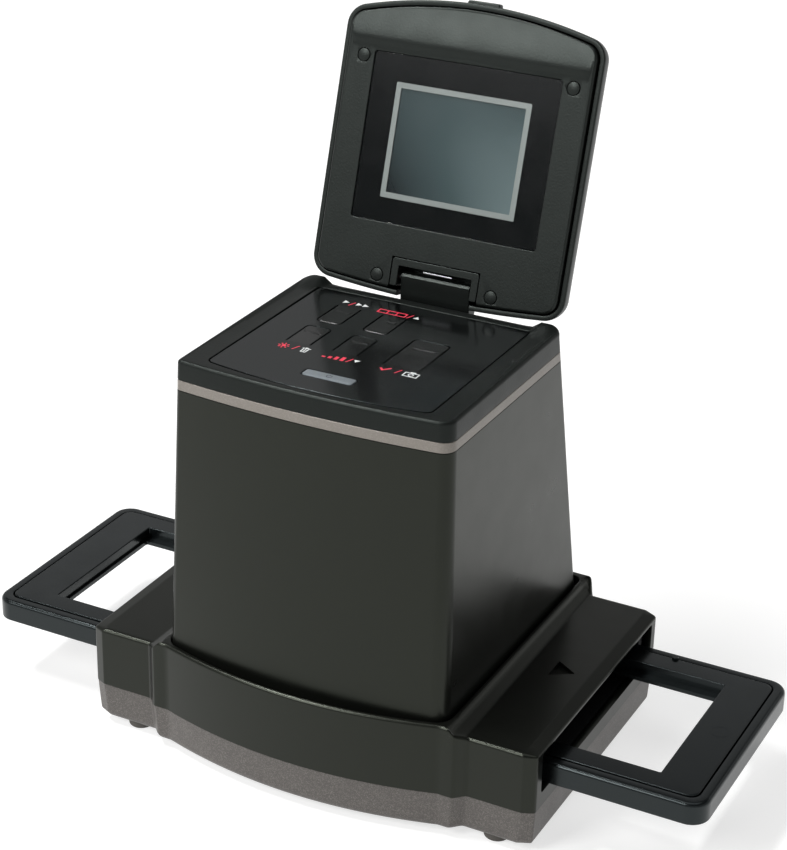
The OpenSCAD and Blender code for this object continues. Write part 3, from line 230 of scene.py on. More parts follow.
@dataclass(frozen=True)
class SoftRect:
    """Rounded rectangle whose low and high edges may bulge.

    A bulged edge is y = sag (x / (half - r))^2, and each corner arc meets it at the
    same slope. r_left, where it is given, rounds the left end of the low edge.
    """

    half: float
    low: float
    high: float
    r_low: float
    r_high: float
    sag_low: float = 0.0
    sag_high: float = 0.0
    edge_steps: int = 28
    corner_steps: int = 10
    least_r: float = 0.1
    r_left: float | None = None

    def _corner(self, half: float, r: float, curve: float) -> tuple[float, float, float]:
        """End of the bulged edge and its slope in degrees: x0 = half - r + r sin(slope),
        slope = atan(2 curve x0), settled in a few rounds.

        Args:
            half: half the width of the outline.
            r: corner radius.
            curve: sag over the square of x.

        Returns:
            x0, the slope there and the height of the corner's centre.
        """
        tilt = 0.0
        for _ in range(6):
            x0 = half - r + r * math.sin(tilt)
            tilt = math.atan(2 * curve * x0)
        return x0, math.degrees(tilt), curve * x0 * x0 + r * math.cos(tilt)

    def _half_loop(self, half: float, left_r: float, right_r: float, sag: float) -> np.ndarray:
        """Lower half from left to right, its lowest point at y = 0.

        Args:
            half: half the width.
            left_r: radius at the left.
            right_r: radius at the right.
            sag: how far the middle bulges.

        Returns:
            The points (n, 2).
        """
        curve = sag / (half - right_r) ** 2
        x_left, bend_left, up_left = self._corner(half, left_r, curve)
        x_right, bend_right, up_right = self._corner(half, right_r, curve)
        x = np.linspace(-x_left, x_right, self.edge_steps + 1)[1:-1]
        return np.concatenate(
            [
                arc(left_r - half, up_left, left_r, 180, 270 - bend_left, self.corner_steps),
                np.stack([x, curve * x * x], 1),
                arc(half - right_r, up_right, right_r, 270 + bend_right, 360, self.corner_steps),
            ]
        )

    def __call__(self, inset: float = 0.0) -> np.ndarray:
        """The outline, anticlockwise, drawn in by inset on every side.

        Args:
            inset: distance inwards.

        Returns:
            The loop (n, 2).
        """
        r_low, r_high, r_left = (
            max(r - inset, self.least_r)
            for r in (self.r_low, self.r_high, self.r_low if self.r_left is None else self.r_left)
        )
        low = self._half_loop(self.half - inset, r_left, r_low, self.sag_low)
        high = self._half_loop(self.half - inset, r_high, r_high, self.sag_high)
        return np.concatenate([low + [0, self.low + inset], [0, self.high - inset] - high])


def raised(loop: np.ndarray, z: float | np.ndarray) -> np.ndarray:
    """A plane loop in space at height z, which is one for all points or one for each."""
    return np.column_stack([loop, np.broadcast_to(np.asarray(z, float), len(loop))])


def end_spans(loop: np.ndarray, half: float) -> np.ndarray:
    """Finds the long straight edges of a loop at x = half and x = -half.

    Args:
        loop: closed polygon.
        half: distance of these edges from the middle.

    Returns:
        Whether such an edge, longer than 20 mm, starts at each point.
    """
    at_end = np.abs(np.abs(loop[:, 0]) - half) < 1e-6
    long = np.abs(loop[:, 1] - np.roll(loop[:, 1], -1)) > 20
    return at_end & np.roll(at_end, -1) & long


def wall_profile(low: float, high: float, top: float, bottom: float, steps: int = 4) -> np.ndarray:
    """Insets and heights up a wall whose lower and upper edges are quarter rounds.

    Args:
        low: lower end.
        high: upper end.
        top: radius of the upper edge.
        bottom: radius of the lower edge.
        steps: segments in each edge.

    Returns:
        Pairs of (inset, z), from below.
    """
    a = np.linspace(0, math.pi / 2, steps + 1)
    lower = np.stack([bottom * (1 - np.sin(a)), low + bottom * (1 - np.cos(a))], 1)
    upper = np.stack([top * (1 - np.cos(a)), high - top * (1 - np.sin(a))], 1)
    return np.concatenate([lower if bottom else lower[:1], upper if top else upper[-1:]])


def level(z: float) -> Height:
    """A flat height."""
    return lambda x, y: np.full(np.shape(x), float(z))


def inside(points: np.ndarray, loop: np.ndarray) -> np.ndarray:
    """Whether each point lies inside a loop: an odd number of edges cross its ray.

    Args:
        points: points (n, 2).
        loop: closed polygon.

    Returns:
        One truth value for each point.
    """
    x, y = points[:, :1], points[:, 1:]
    a, b = loop, np.roll(loop, -1, 0)
    spans = (a[:, 1] > y) != (b[:, 1] > y)
    with np.errstate(divide="ignore", invalid="ignore"):
        cut = (b[:, 0] - a[:, 0]) * (y - a[:, 1]) / (b[:, 1] - a[:, 1]) + a[:, 0]
    return (spans & (x < cut)).sum(1) % 2 == 1


# ---------------------------------------------------------------- surfaces


class Surface:
    """Faces gathered for one piece, in millimetres."""

    def __init__(self) -> None:
        """Starts empty."""
        self.points: list[np.ndarray] = []
        self.faces: list[list[int]] = []
        self.size = 0

    def add(self, points: np.ndarray, faces: np.ndarray) -> "Surface":
        """Adds points (n, 3) and faces (m, 3 or 4) that index them.

        Args:
            points: array (n, 3).
            faces: indices into these points.

        Returns:
            This surface.
        """
        self.points.append(np.asarray(points, float))
        self.faces.extend((np.asarray(faces) + self.size).tolist())
        self.size += len(points)
        return self

    def join(self, other: "Surface") -> "Surface":
        """Adds all faces of another surface.

        Args:
            other: the surface to take over.

        Returns:
            This surface.
        """
        self.faces.extend([[i + self.size for i in face] for face in other.faces])
        self.points.extend(other.points)
        self.size += other.size
        return self

    def strip(
        self, rings: Sequence[np.ndarray], closed: bool = True, skip: np.ndarray | None = None
    ) -> "Surface":
        """Joins rings of as many points each by quads: point i of ring k to its
        neighbours i + 1 and k + 1.

        Args:
            rings: arrays (n, 3).
            closed: whether the last point of a ring joins its first.
            skip: marks the points from which no quad starts, so a gap stays there.

        Returns:
            This surface.
        """
        stack = np.stack(rings)
        count, n = stack.shape[:2]
        i = np.arange(n if closed else n - 1)
        if skip is not None:
            i = np.flatnonzero(~skip)
        k = np.arange(count - 1)[:, None]
        j = (i + 1) % n
        quads = np.stack([k * n + i, k * n + j, (k + 1) * n + j, (k + 1) * n + i], -1)
        return self.add(stack.reshape(-1, 3), quads.reshape(-1, 4))

    def patch(
        self,
        outline: np.ndarray,
        holes: Sequence[np.ndarray],
        lift: Callable[[np.ndarray], np.ndarray],
        inner: np.ndarray | None = None,
    ) -> "Surface":
        """Fills an outline less its holes with a Delaunay net, and lifts it into space.

        Args:
            outline: (n, 2) points round the region.
            holes: loops cut out of it.
            lift: turns (n, 2) points into (n, 3).
            inner: further points for the net, kept where they lie in the region.

        Returns:
            This surface.
        """
        loops = [outline, *holes]
        edges, start = [], 0
        for loop in loops:
            i = np.arange(len(loop))
            edges.append(np.stack([start + i, start + (i + 1) % len(loop)], 1))
            start += len(loop)
        net = np.concatenate(loops)
        if inner is not None and len(inner):
            keep = inside(inner, outline)
            for hole in holes:
                keep &= ~inside(inner, hole)
            inner = inner[keep]
            gap = np.linalg.norm(inner[:, None] - net[None], axis=2).min(1)
            net = np.concatenate([net, inner[gap > 0.45]])
        result = delaunay_2d_cdt([Vector(p) for p in net], np.concatenate(edges).tolist(), [], 0, 1e-6, False)
        flat = np.array([(v[0], v[1]) for v in result[0]])
        faces = np.array([f for f in result[2] if len(f) == 3])
        middle = flat[faces].mean(1)
        keep = inside(middle, outline)
        for hole in holes:
            keep &= ~inside(middle, hole)
        return self.add(lift(flat), faces[keep])

    def cap(
        self,
        outline: np.ndarray,
        holes: Sequence[np.ndarray] = (),
        height: float | Height = 0.0,
        inner: np.ndarray | None = None,
    ) -> "Surface":
        """Fills an outline at a height, or on a height field z = height(x, y).

        Args:
            outline: closed polygon.
            holes: closed polygons inside it that stay open.
            height: the height or the field.
            inner: further points that the faces pass through.

        Returns:
            This surface.
        """
        field = height if callable(height) else level(height)
        return self.patch(outline, holes, lambda p: np.column_stack([p, field(p[:, 0], p[:, 1])]), inner)

    def wall(self, outline: Loop, profile: np.ndarray, grow: float = 1.0) -> "Surface":
        """Carries a profile of (inset, z) round an outline. A hole grows: grow = -1."""
        return self.strip([raised(outline(grow * i), z) for i, z in profile])

    def plate(
        self,
        outline: Loop,
        low: float,
        high: float,
        holes: Sequence[Loop] = (),
        top: float = 0.3,
        bottom: float = 0.0,
        steps: int = 4,
    ) -> "Surface":
        """Adds a plate with rounded rims, outside and round its holes.

        Args:
            outline: outer outline.
            low: height of its underside.
            high: height of its top.
            holes: outlines cut through it.
            top: radius of the upper edges.
            bottom: radius of the lower edges.
            steps: segments of a quarter round.

        Returns:
            This surface.
        """
        profile = wall_profile(low, high, top, bottom, steps)
        self.wall(outline, profile)
        for hole in holes:
            self.wall(hole, profile, -1)
        for (inset, z) in (profile[0], profile[-1]):
            self.cap(outline(inset), [hole(-inset) for hole in holes], z)
        return self

    def lathe(self, profile: Sequence[Sequence[float]], x: float, y: float, steps: int = 40) -> "Surface":
        """Turns a profile about the upright line through (x, y).

        Args:
            profile: its (r, z) pairs.
            x: place of the line.
            y: place of the line.
            steps: segments in a turn.

        Returns:
            This surface.
        """
        turn = arc(0, 0, 1, 0, 360, steps)[:-1]
        return self.strip([raised(turn * r + [x, y], z) for r, z in profile])

    def tube(self, x: float, y: float, r: float, bore: float, low: float, high: float) -> "Surface":
        """Upright tube about (x, y), open through its bore."""
        return self.lathe([(bore, low), (r, low), (r, high), (bore, high), (bore, low)], x, y, 24)

    def box(
        self, x0: float, x1: float, y0: float, y1: float, z0: float, z1: float, r: float = 0.15
    ) -> "Surface":
        """Block between two corners with its upper and lower rims rounded by r."""
        middle = ((x0 + x1) / 2, (y0 + y1) / 2)
        return self.plate(oblong(*middle, x1 - x0, y1 - y0, max(r, 0.02), 3), z0, z1, (), r, r, 2)

    def mapped(self, change: Callable[[np.ndarray], np.ndarray]) -> "Surface":
        """Passes every point through a function of (n, 3) points."""
        self.points = [change(p) for p in self.points]
        return self

    def along_x(self, y: float = 0.0, z: float = 0.0) -> "Surface":
        """Lays the surface down: its x, y, z become y, z, x, shifted by y and z."""
        return self.mapped(lambda p: np.column_stack([p[:, 2], p[:, 0] + y, p[:, 1] + z]))

    def piece(self, name: str, place: Place, crease: float = 40.0) -> bpy.types.Object:
        """Makes the object: welds the points, turns the faces outwards, shades smooth.

        Args:
            name: the piece's name.
            place: the place that its points are in.
            crease: angle in degrees from which an edge stays sharp.

        Returns:
            The new object, at the origin with its place in its mesh.
        """
        mesh = bpy.data.meshes.new(name)
        mesh.from_pydata(place.to_row(np.concatenate(self.points)).tolist(), [], self.faces)
        shape = bmesh.new()
        shape.from_mesh(mesh)
        bmesh.ops.remove_doubles(shape, verts=shape.verts, dist=WELD)
        bmesh.ops.dissolve_degenerate(shape, edges=shape.edges, dist=WELD / 4)
        bmesh.ops.recalc_face_normals(shape, faces=shape.faces)
        shape.to_mesh(mesh)
        shape.free()
        mesh.polygons.foreach_set("use_smooth", np.ones(len(mesh.polygons), bool))
        mesh.set_sharp_from_angle(angle=math.radians(crease))
        made = bpy.data.objects.new(name, mesh)
        bpy.context.scene.collection.objects.link(made)
        even = made.modifiers.new("even_normals", "WEIGHTED_NORMAL")
        even.keep_sharp = True
        even.weight = 90
        return made


# ---------------------------------------------------------------- finishes


def linear(hex_colour: str) -> tuple[float, float, float, float]:
    """sRGB hex to linear light: (c / 12.92) below 0.04045, else ((c + .055) / 1.055)^2.4.

    Args:
        hex_colour: colour as #rrggbb.

    Returns:
        Red, green and blue in linear light, and 1.
    """
    parts = [int(hex_colour.lstrip("#")[i : i + 2], 16) / 255 for i in (0, 2, 4)]
    r, g, b = (c / 12.92 if c <= 0.04045 else ((c + 0.055) / 1.055) ** 2.4 for c in parts)
    return r, g, b, 1.0


def add_node(
    tree: bpy.types.NodeTree, kind: str, inputs: dict[Any, Any] | None = None, **settings: Any
) -> bpy.types.Node:
    """Adds a node with its settings, and links or sets its inputs.

    Args:
        tree: the node tree.
        kind: node type.
        inputs: socket name or number to a value, or to an output socket to link.
        settings: the node's own properties.

    Returns:
        The node.
    """
    made = tree.nodes.new(kind)
    for key, value in settings.items():
        setattr(made, key, value)
    for key, value in (inputs or {}).items():
        if isinstance(value, bpy.types.NodeSocket):
            tree.links.new(value, made.inputs[key])
        else:
            made.inputs[key].default_value = value
    return made


def maths(tree: bpy.types.NodeTree, operation: str, *values: Any) -> bpy.types.NodeSocket:
    """Result of an operation on numbers or sockets."""
    return add_node(tree, "ShaderNodeMath", dict(enumerate(values)), operation=operation).outputs[0]


def ramp(node: bpy.types.Node, stops: Sequence[tuple[float, Any]]) -> bpy.types.Node:
    """Sets the stops of a colour ramp: (place, hex colour or grey level).

    Args:
        node: the ramp.
        stops: its stops from left to right.

    Returns:
        The same node.
    """
    elements = node.color_ramp.elements
    while len(elements) < len(stops):
        elements.new(0.5)
    for element, (place, colour) in zip(elements, stops):
        element.position = place
        element.color = linear(colour) if isinstance(colour, str) else (colour, colour, colour, 1)
    return node


@dataclass(frozen=True)
class Finish:
    """What every finish has: a base colour, a gloss and a drift of tone.

    tone_mm is the size of the patches over which the tone drifts, and pits are the width
    and height of the surface's bumps in millimetres.
    """

    name: str
    colour: str
    roughness: float
    tone: float = 0.06
    tone_mm: float = 30.0
    pits: tuple[float, float] = (0.6, 0.01)
    rough_drift: float = 0.05

    def start(self) -> tuple[bpy.types.Material, bpy.types.NodeTree, bpy.types.Node, bpy.types.NodeSocket]:
        """Makes the material with its shader and Object coordinates.

        Returns:
            The material, its node tree, its shader and the socket with the place.
        """
        material = bpy.data.materials.new(self.name)
        material.use_nodes = True
        tree = material.node_tree
        tree.nodes.clear()
        shader = add_node(tree, "ShaderNodeBsdfPrincipled")
        add_node(tree, "ShaderNodeOutputMaterial", {"Surface": shader.outputs[0]})
        place = add_node(tree, "ShaderNodeTexCoord").outputs["Object"]
        return material, tree, shader, place

    def drift(self, tree: bpy.types.NodeTree, place: bpy.types.NodeSocket) -> bpy.types.NodeSocket:
        """Base colour times 1 - tone to 1 + tone over slow noise.

        Args:
            tree: the material's node tree.
            place: socket with the place on the piece.

        Returns:
            Socket with the colour.
        """
        noise = add_node(
            tree, "ShaderNodeTexNoise", {"Vector": place, "Scale": 1 / (self.tone_mm * MM), "Detail": 3.0}
        )
        r, g, b, _ = linear(self.colour)
        low, high = (tuple(c * k for c in (r, g, b)) + (1.0,) for k in (1 - self.tone, 1 + self.tone))
        mix = add_node(
            tree, "ShaderNodeMix", {0: noise.outputs["Fac"], 6: low, 7: high}, data_type="RGBA"
        )
        return mix.outputs[2]

    def uneven(self, tree: bpy.types.NodeTree, place: bpy.types.NodeSocket) -> bpy.types.NodeSocket:
        """Roughness less to more rough_drift over noise of a third of the tone's size.

        Args:
            tree: the material's node tree.
            place: socket with the place on the piece.

        Returns:
            Socket with the roughness.
        """
        noise = add_node(
            tree, "ShaderNodeTexNoise", {"Vector": place, "Scale": 3 / (self.tone_mm * MM), "Detail": 2.0}
        )
        spread = add_node(
            tree,
            "ShaderNodeMapRange",
            {
                0: noise.outputs["Fac"],
                3: self.roughness - self.rough_drift,
                4: self.roughness + self.rough_drift,
            },
        )
        return spread.outputs[0]

    def grain(
        self, tree: bpy.types.NodeTree, place: bpy.types.NodeSocket, detail: float = 2.0
    ) -> bpy.types.NodeSocket:
        """Bumps of the grain's width and height.

        Args:
            tree: the material's node tree.
            place: socket with the place on the piece.
            detail: octaves of the noise.

        Returns:
            Socket with the normal.
        """
        width, height = (v * MM for v in self.pits)
        noise = add_node(tree, "ShaderNodeTexNoise", {"Vector": place, "Scale": 1 / width, "Detail": detail})
        bump = add_node(tree, "ShaderNodeBump", {"Height": noise.outputs["Fac"], "Distance": height})
        return bump.outputs[0]

    def build(self) -> bpy.types.Material:
        """The material, with drifting tone and gloss and a fine grain.

        Returns:
            The finished material.
        """
        material, tree, shader, place = self.start()
        shader.inputs["Roughness"].default_value = self.roughness
        tree.links.new(self.drift(tree, place), shader.inputs["Base Color"])
        tree.links.new(self.uneven(tree, place), shader.inputs["Roughness"])
        tree.links.new(self.grain(tree, place), shader.inputs["Normal"])
        self.dress(material, tree, shader, place)
        return material

    def dress(
        self,
        material: bpy.types.Material,
        tree: bpy.types.NodeTree,
        shader: bpy.types.Node,
        place: bpy.types.NodeSocket,
    ) -> None:
        """What one kind of finish adds. Nothing here."""


@dataclass(frozen=True)
class MouldedAbs(Finish):
    """ABS as it leaves the mould. A spark-eroded mould leaves fine pits, which spread
    each highlight into a soft band."""

    ior: float = 1.53
    specular: float = 0.5
    tint: str = "#ffffff"

    def dress(self, material, tree, shader, place) -> None:
        """Sets the plastic's refraction and shine.

        Args:
            material: the new material.
            tree: the material's node tree.
            shader: its shader node.
            place: socket with the place on the piece.
        """
        shader.inputs["IOR"].default_value = self.ior
        shader.inputs["Specular IOR Level"].default_value = self.specular
        shader.inputs["Specular Tint"].default_value = linear(self.tint)


@dataclass(frozen=True)
class GlossLacquer(MouldedAbs):
    """Polished or lacquered plastic: a sharp mirror over black, with the faint waves of
    a lacquer that has flowed."""

    coat: float = 0.6

    def dress(self, material, tree, shader, place) -> None:
        """Adds the clear coat.

        Args:
            material: the new material.
            tree: the material's node tree.
            shader: its shader node.
            place: socket with the place on the piece.
        """
        super().dress(material, tree, shader, place)
        shader.inputs["Coat Weight"].default_value = self.coat
        shader.inputs["Coat Roughness"].default_value = 0.04


@dataclass(frozen=True)
class FlakePaint(Finish):
    """Metallic paint on plastic: aluminium flakes in a warm grey binder glint one by
    one. Real flakes are 0.03 mm and are drawn at flake_mm so that they show."""

    metallic: float = 0.25
    flake_mm: float = 0.28
    glint: str = "#a09b95"

    def dress(self, material, tree, shader, place) -> None:
        """Lays lighter flakes over the drifting base colour.

        Args:
            material: the new material.
            tree: the material's node tree.
            shader: its shader node.
            place: socket with the place on the piece.
        """
        cells = add_node(
            tree, "ShaderNodeTexVoronoi", {"Vector": place, "Scale": 1 / (self.flake_mm * MM)}
        )
        level_of = add_node(tree, "ShaderNodeSeparateColor", {0: cells.outputs["Color"]})
        share = add_node(
            tree, "ShaderNodeMapRange", {0: level_of.outputs[0], 1: 0.5, 2: 1.0, 3: 0.0, 4: 0.32}
        )
        base = shader.inputs["Base Color"].links[0].from_socket
        mix = add_node(
            tree, "ShaderNodeMix", {0: share.outputs[0], 6: base, 7: linear(self.glint)}, data_type="RGBA"
        )
        tree.links.new(mix.outputs[2], shader.inputs["Base Color"])
        shader.inputs["Metallic"].default_value = self.metallic


@dataclass(frozen=True)
class Metal(Finish):
    """Bare or plated metal. Drawing and turning leave fine lines along lay, which
    stretch its reflections across them."""

    lay: tuple[float, float, float] = (0.05, 1.0, 1.0)

    def dress(self, material, tree, shader, place) -> None:
        """Turns the shader to metal and cuts the fine lines.

        Args:
            material: the new material.
            tree: the material's node tree.
            shader: its shader node.
            place: socket with the place on the piece.
        """
        shader.inputs["Metallic"].default_value = 1.0
        along = add_node(tree, "ShaderNodeMapping", {"Vector": place, "Scale": self.lay})
        tree.links.new(self.grain(tree, along.outputs[0], 4.0), shader.inputs["Normal"])


@dataclass(frozen=True)
class ClearSheet(Finish):
    """Clear acrylic sheet over the display: a faint smoke tint that lets what lies
    below show through."""

    alpha: float = 0.1

    def dress(self, material, tree, shader, place) -> None:
        """Lets most of the light through."""
        shader.inputs["Alpha"].default_value = self.alpha
        shader.inputs["IOR"].default_value = 1.49


@dataclass(frozen=True)
class DisplayGlass(Finish):
    """Switched-off liquid crystal display: a smoky green-grey under a clear coat, with a
    painted reflection that makes it paler in the middle and towards one lower corner."""

    # Palest tone of the painted reflection.
    pale: str = "#86989a"
    middle: tuple[float, float, float] = (0.0, 0.0, 0.0)
    span_mm: tuple[float, float] = (49.0, 37.4)

    def dress(self, material, tree, shader, place) -> None:
        """Runs the painted reflection as a tone 0.38 + 0.44 u - 0.7 u w + 0.16 (1 - 2 (u^2 + w^2)),
        u and w being shares of the width and the height from the middle.

        Args:
            material: the new material.
            tree: the material's node tree.
            shader: its shader node.
            place: socket with the place on the piece.
        """
        local = add_node(
            tree, "ShaderNodeVectorMath", {
                0: place, 1: tuple(v * MM for v in self.middle)
            }, operation="SUBTRACT"
        )
        slope = math.radians(180.0 - STACK.open_angle)
        w, h = (s * MM for s in self.span_mm)
        axes = ((1 / w, 0.0, 0.0), (0.0, math.cos(slope) / h, math.sin(slope) / h))
        across, up = (
            add_node(
                tree, "ShaderNodeVectorMath", {0: local.outputs[0], 1: axis}, operation="DOT_PRODUCT"
            ).outputs["Value"]
            for axis in axes
        )
        plane = maths(tree, "MULTIPLY_ADD", across, 0.44, 0.54)
        tilt = maths(tree, "MULTIPLY", up, -0.7)
        twist = maths(tree, "MULTIPLY_ADD", tilt, across, plane)
        for share in (across, up):
            square = maths(tree, "MULTIPLY", share, share)
            twist = maths(tree, "MULTIPLY_ADD", square, -0.32, twist)
        # Runs from the dark glass to the palest tone of the painted reflection.
        tones = ramp(
            add_node(tree, "ShaderNodeValToRGB", {0: twist}), [
                (0.05, self.colour), (0.5, "#4b5c5e"), (0.95, self.pale)
            ]
        )
        tree.links.new(tones.outputs[0], shader.inputs["Base Color"])
        shader.inputs["Coat Weight"].default_value = 0.6
        shader.inputs["Coat Roughness"].default_value = 0.05


@dataclass(frozen=True)
class CircuitBoard(Finish):
    """Glass-epoxy board under green solder mask: copper tracks 0.4 mm wide show as
    paler lines."""

    track: str = "#2f8a58"

    def dress(self, material, tree, shader, place) -> None:
        """Draws tracks as the edges of square cells.

        Args:
            material: the new material.
            tree: the material's node tree.
            shader: its shader node.
            place: socket with the place on the piece.
        """
        cells = add_node(
            tree,
            "ShaderNodeTexBrick",
            {
                "Vector": place,
                "Color1": linear(self.colour),
                "Color2": linear("#175c3a"),
                "Mortar": linear(self.track),
                "Scale": 1 / (12 * MM),
                "Mortar Size": 0.02,
                "Brick Width": 0.6,
                "Row Height": 0.25,
            },
        )
        tree.links.new(cells.outputs["Color"], shader.inputs["Base Color"])


@dataclass(frozen=True)
class Lamp(Finish):
    """Cover of a lamp or diffuser: milky plastic that scatters light inside."""

    def dress(self, material, tree, shader, place) -> None:
        """Adds the scattering."""
        shader.inputs["Subsurface Weight"].default_value = 0.3
        shader.inputs["Subsurface Scale"].default_value = 2 * MM


@dataclass(frozen=True)
class RibbonCable(Finish):
    """Flat flexible cable: tinned tracks 0.5 mm apart under clear film."""

    def dress(self, material, tree, shader, place) -> None:
        """Draws the tracks as stripes across X.

        Args:
            material: the new material.
            tree: the material's node tree.
            shader: its shader node.
            place: socket with the place on the piece.
        """
        stripes = add_node(
            tree,
            "ShaderNodeTexWave",
            {"Vector": place, "Scale": 1 / (1.0 * MM) / 2},
            bands_direction="X",
        )
        tones = ramp(
            add_node(tree, "ShaderNodeValToRGB", {0: stripes.outputs["Fac"]}), [
                (0.35, "#8f9396"), (0.65, self.colour)
            ]
        )
        tree.links.new(tones.outputs[0], shader.inputs["Base Color"])


@dataclass(frozen=True)
class LensGlass(Finish):
    """Coated optical glass: clear under a thin coat; the real glass's green-violet bloom at its rim is not
    drawn.
    """

    def dress(self, material, tree, shader, place) -> None:
        """Makes it clear and coats it.

        Args:
            material: the new material.
            tree: the material's node tree.
            shader: its shader node.
            place: socket with the place on the piece.
        """
        shader.inputs["Transmission Weight"].default_value = 0.9
        shader.inputs["IOR"].default_value = 1.62
        shader.inputs["Coat Weight"].default_value = 0.4


SCREEN_MIDDLE = tuple(Place.SCREEN.to_row(np.array([[0.0, 47.9, 2.4]]))[0] / MM)


class Kind(Enum):
    """The finishes of this object, each with the name of its material slot."""

    # Tower and upper shell: fine-pitted black ABS with a broad soft sheen.
    SATIN = (
        "satin_plastic",
        MouldedAbs("satin_black_abs", "#0d0e0c", 0.3, pits=(0.5, 0.008), specular=0.28, tint="#f7ffec"),
    )
    # Screen housing and hinge trim: coarser spark grain, so highlights break up more.
    GRAINED = (
        "textured_plastic",
        MouldedAbs("grained_black_abs", "#111312", 0.38, pits=(0.75, 0.04), specular=0.28, tint="#f2fff8"),
    )
    # Cap: the same grain, worn duller.
    CAP = (
        "textured_plastic",
        MouldedAbs("grained_black_cap", "#0f1110", 0.4, pits=(0.75, 0.04), specular=0.2, tint="#f2fff8"),
    )
    # Film holder: smoother black ABS with a clearer sheen and bright edges.
    HOLDER = (
        "black_plastic",
        MouldedAbs("polished_black_abs", "#0c0e0f", 0.22, pits=(0.8, 0.005), specular=0.33, tint="#edfdff"),
    )
    # Film stage and inner black mouldings: dull, so that stray light dies there.
    DULL = ("black_plastic", MouldedAbs("dull_black_abs", "#0b0c0d", 0.6, pits=(0.5, 0.02), specular=0.3))
    # Key panel: black lacquer, rubbed down so that it mirrors only softly.
    PANEL = (
        "gloss_black",
        GlossLacquer(
            "gloss_black_panel", "#070808", 0.16, pits=(6.0, 0.002), specular=0.27, coat=0.0, tint="#ecfdff"
        ),
    )
    # Keys: the panel's own gloss, a little worn by fingers.
    KEY = (
        "gloss_plastic",
        GlossLacquer("gloss_black_key", "#090a0a", 0.2, pits=(4.0, 0.003), specular=0.38, coat=0.0),
    )
    # Black print behind the window: deep black with a cool sheen.
    MASK = (
        "window_glass",
        GlossLacquer("black_mask_ink", "#060808", 0.2, pits=(9.0, 0.001), specular=0.3, coat=0.0),
    )
    # Lower shell: warm grey metallic paint.
    TAUPE = ("taupe_plastic", FlakePaint("taupe_flake_paint", "#575350", 0.42, pits=(0.5, 0.008)))
    # Band under the cap: the same paint, laid on thinner and lighter.
    TRIM = ("taupe_plastic", FlakePaint("taupe_flake_band", "#837d76", 0.36, pits=(0.5, 0.006)))
    # Feet: the same grey as the shell, in dull rubber.
    FOOT = ("rubber", MouldedAbs("grey_rubber_foot", "#595652", 0.6, pits=(0.5, 0.02), specular=0.3))
    # Power bar: satin silver paint, even and barely brushed.
    PLATED = (
        "silver_plastic",
        FlakePaint(
            "satin_silver_paint", "#8b9398", 0.36, pits=(0.3, 0.002), metallic=0.55, flake_mm=0.2,
            glint="#b4babd",
        ),
    )
    # Hinge, screws and sockets: nickel plate with fine drawing lines.
    STEEL = ("steel", Metal("nickel_plated_steel", "#b9bbbd", 0.3, pits=(0.3, 0.002)))
    # Window: clear acrylic sheet, hard-coated.
    WINDOW = ("window_glass", ClearSheet("clear_acrylic_sheet", "#0c1416", 0.12, pits=(20.0, 0.0005)))
    # Frame round the display: pale print under the window.
    FRAME = ("print_grey", GlossLacquer("pale_grey_print", "#a3aba8", 0.25, pits=(0.5, 0.002)))
    # Display: dark glass, made paler in the middle and towards one lower corner by a painted reflection.
    DISPLAY = (
        "display", DisplayGlass("display_glass", "#1c2527", 0.2, middle=SCREEN_MIDDLE, pits=(8.0, 0.0005))
    )
    WHITE_INK = ("white_plastic", MouldedAbs("white_screen_print", "#d9dcdb", 0.45, pits=(0.3, 0.004)))
    RED_INK = ("white_plastic", MouldedAbs("red_screen_print", "#e03a50", 0.45, pits=(0.3, 0.004)))
    GREY_INK = ("silver_plastic", MouldedAbs("grey_screen_print", "#4a4e52", 0.45, pits=(0.3, 0.004)))
    WHITE = ("white_plastic", MouldedAbs("white_abs", "#e2e3df", 0.45, pits=(0.6, 0.01)))
    WHITE_BOARD = ("white_board", MouldedAbs("white_mask_board", "#dfe1dc", 0.4, pits=(1.2, 0.01)))
    OPAL = ("opal", Lamp("opal_acrylic", "#eceeec", 0.5, pits=(0.4, 0.006)))
    LED = ("led", Lamp("phosphor_lamp", "#efe2a0", 0.3, pits=(0.3, 0.004)))
    BOARD = ("circuit_board", CircuitBoard("green_circuit_board", "#1a6641", 0.35, pits=(0.8, 0.01)))
    CHIP = ("chip_plastic", MouldedAbs("epoxy_chip", "#1c1d1e", 0.5, pits=(0.3, 0.01)))
    SENSOR = ("sensor", GlossLacquer("sensor_glass", "#2a2440", 0.1, pits=(3.0, 0.001)))
    CABLE = ("cable", RibbonCable("ribbon_cable", "#d8dad8", 0.35, pits=(0.8, 0.006)))
    LENS = ("lens_glass", LensGlass("coated_lens_glass", "#cfd8e6", 0.03, pits=(12.0, 0.0005)))
    FILTER = ("filter_glass", LensGlass("cyan_filter_glass", "#9fd3d0", 0.04, pits=(12.0, 0.0005)))
    DARK_METAL = ("black_metal", Metal("blackened_steel", "#3c3d3f", 0.4, pits=(0.4, 0.004)))

    @property
    def slot(self) -> str:
        """Name of the material slot."""
        return self.value[0]

    def material(self) -> bpy.types.Material:
        """The material, made at its first use."""
        finish: Finish = self.value[1]
        return bpy.data.materials.get(finish.name) or finish.build()


def finish_piece(
    surface: Surface,
    name: str,
    kind: Kind,
    body: str,
    place: Place = Place.BASE,
    stands_for: Sequence[str] = (),
    crease: float = 40.0,
) -> bpy.types.Object:
    """Makes a piece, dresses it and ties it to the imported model.

    Args:
        surface: its faces.
        name: its name.
        kind: its finish.
        body: the body that it moves with.
        place: the place that its points are in.
        stands_for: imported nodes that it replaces.
        crease: angle in degrees from which an edge stays sharp.

    Returns:
        The piece.
    """
    made = surface.piece(name, place, crease)
    made.data.materials.append(kind.material())
    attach(made, body)
    if stands_for:
        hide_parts(*stands_for)
    kind.slot
    LOG.info("%s: %d faces, %s, on %s", name, len(made.data.polygons), kind.name, body)
    return made


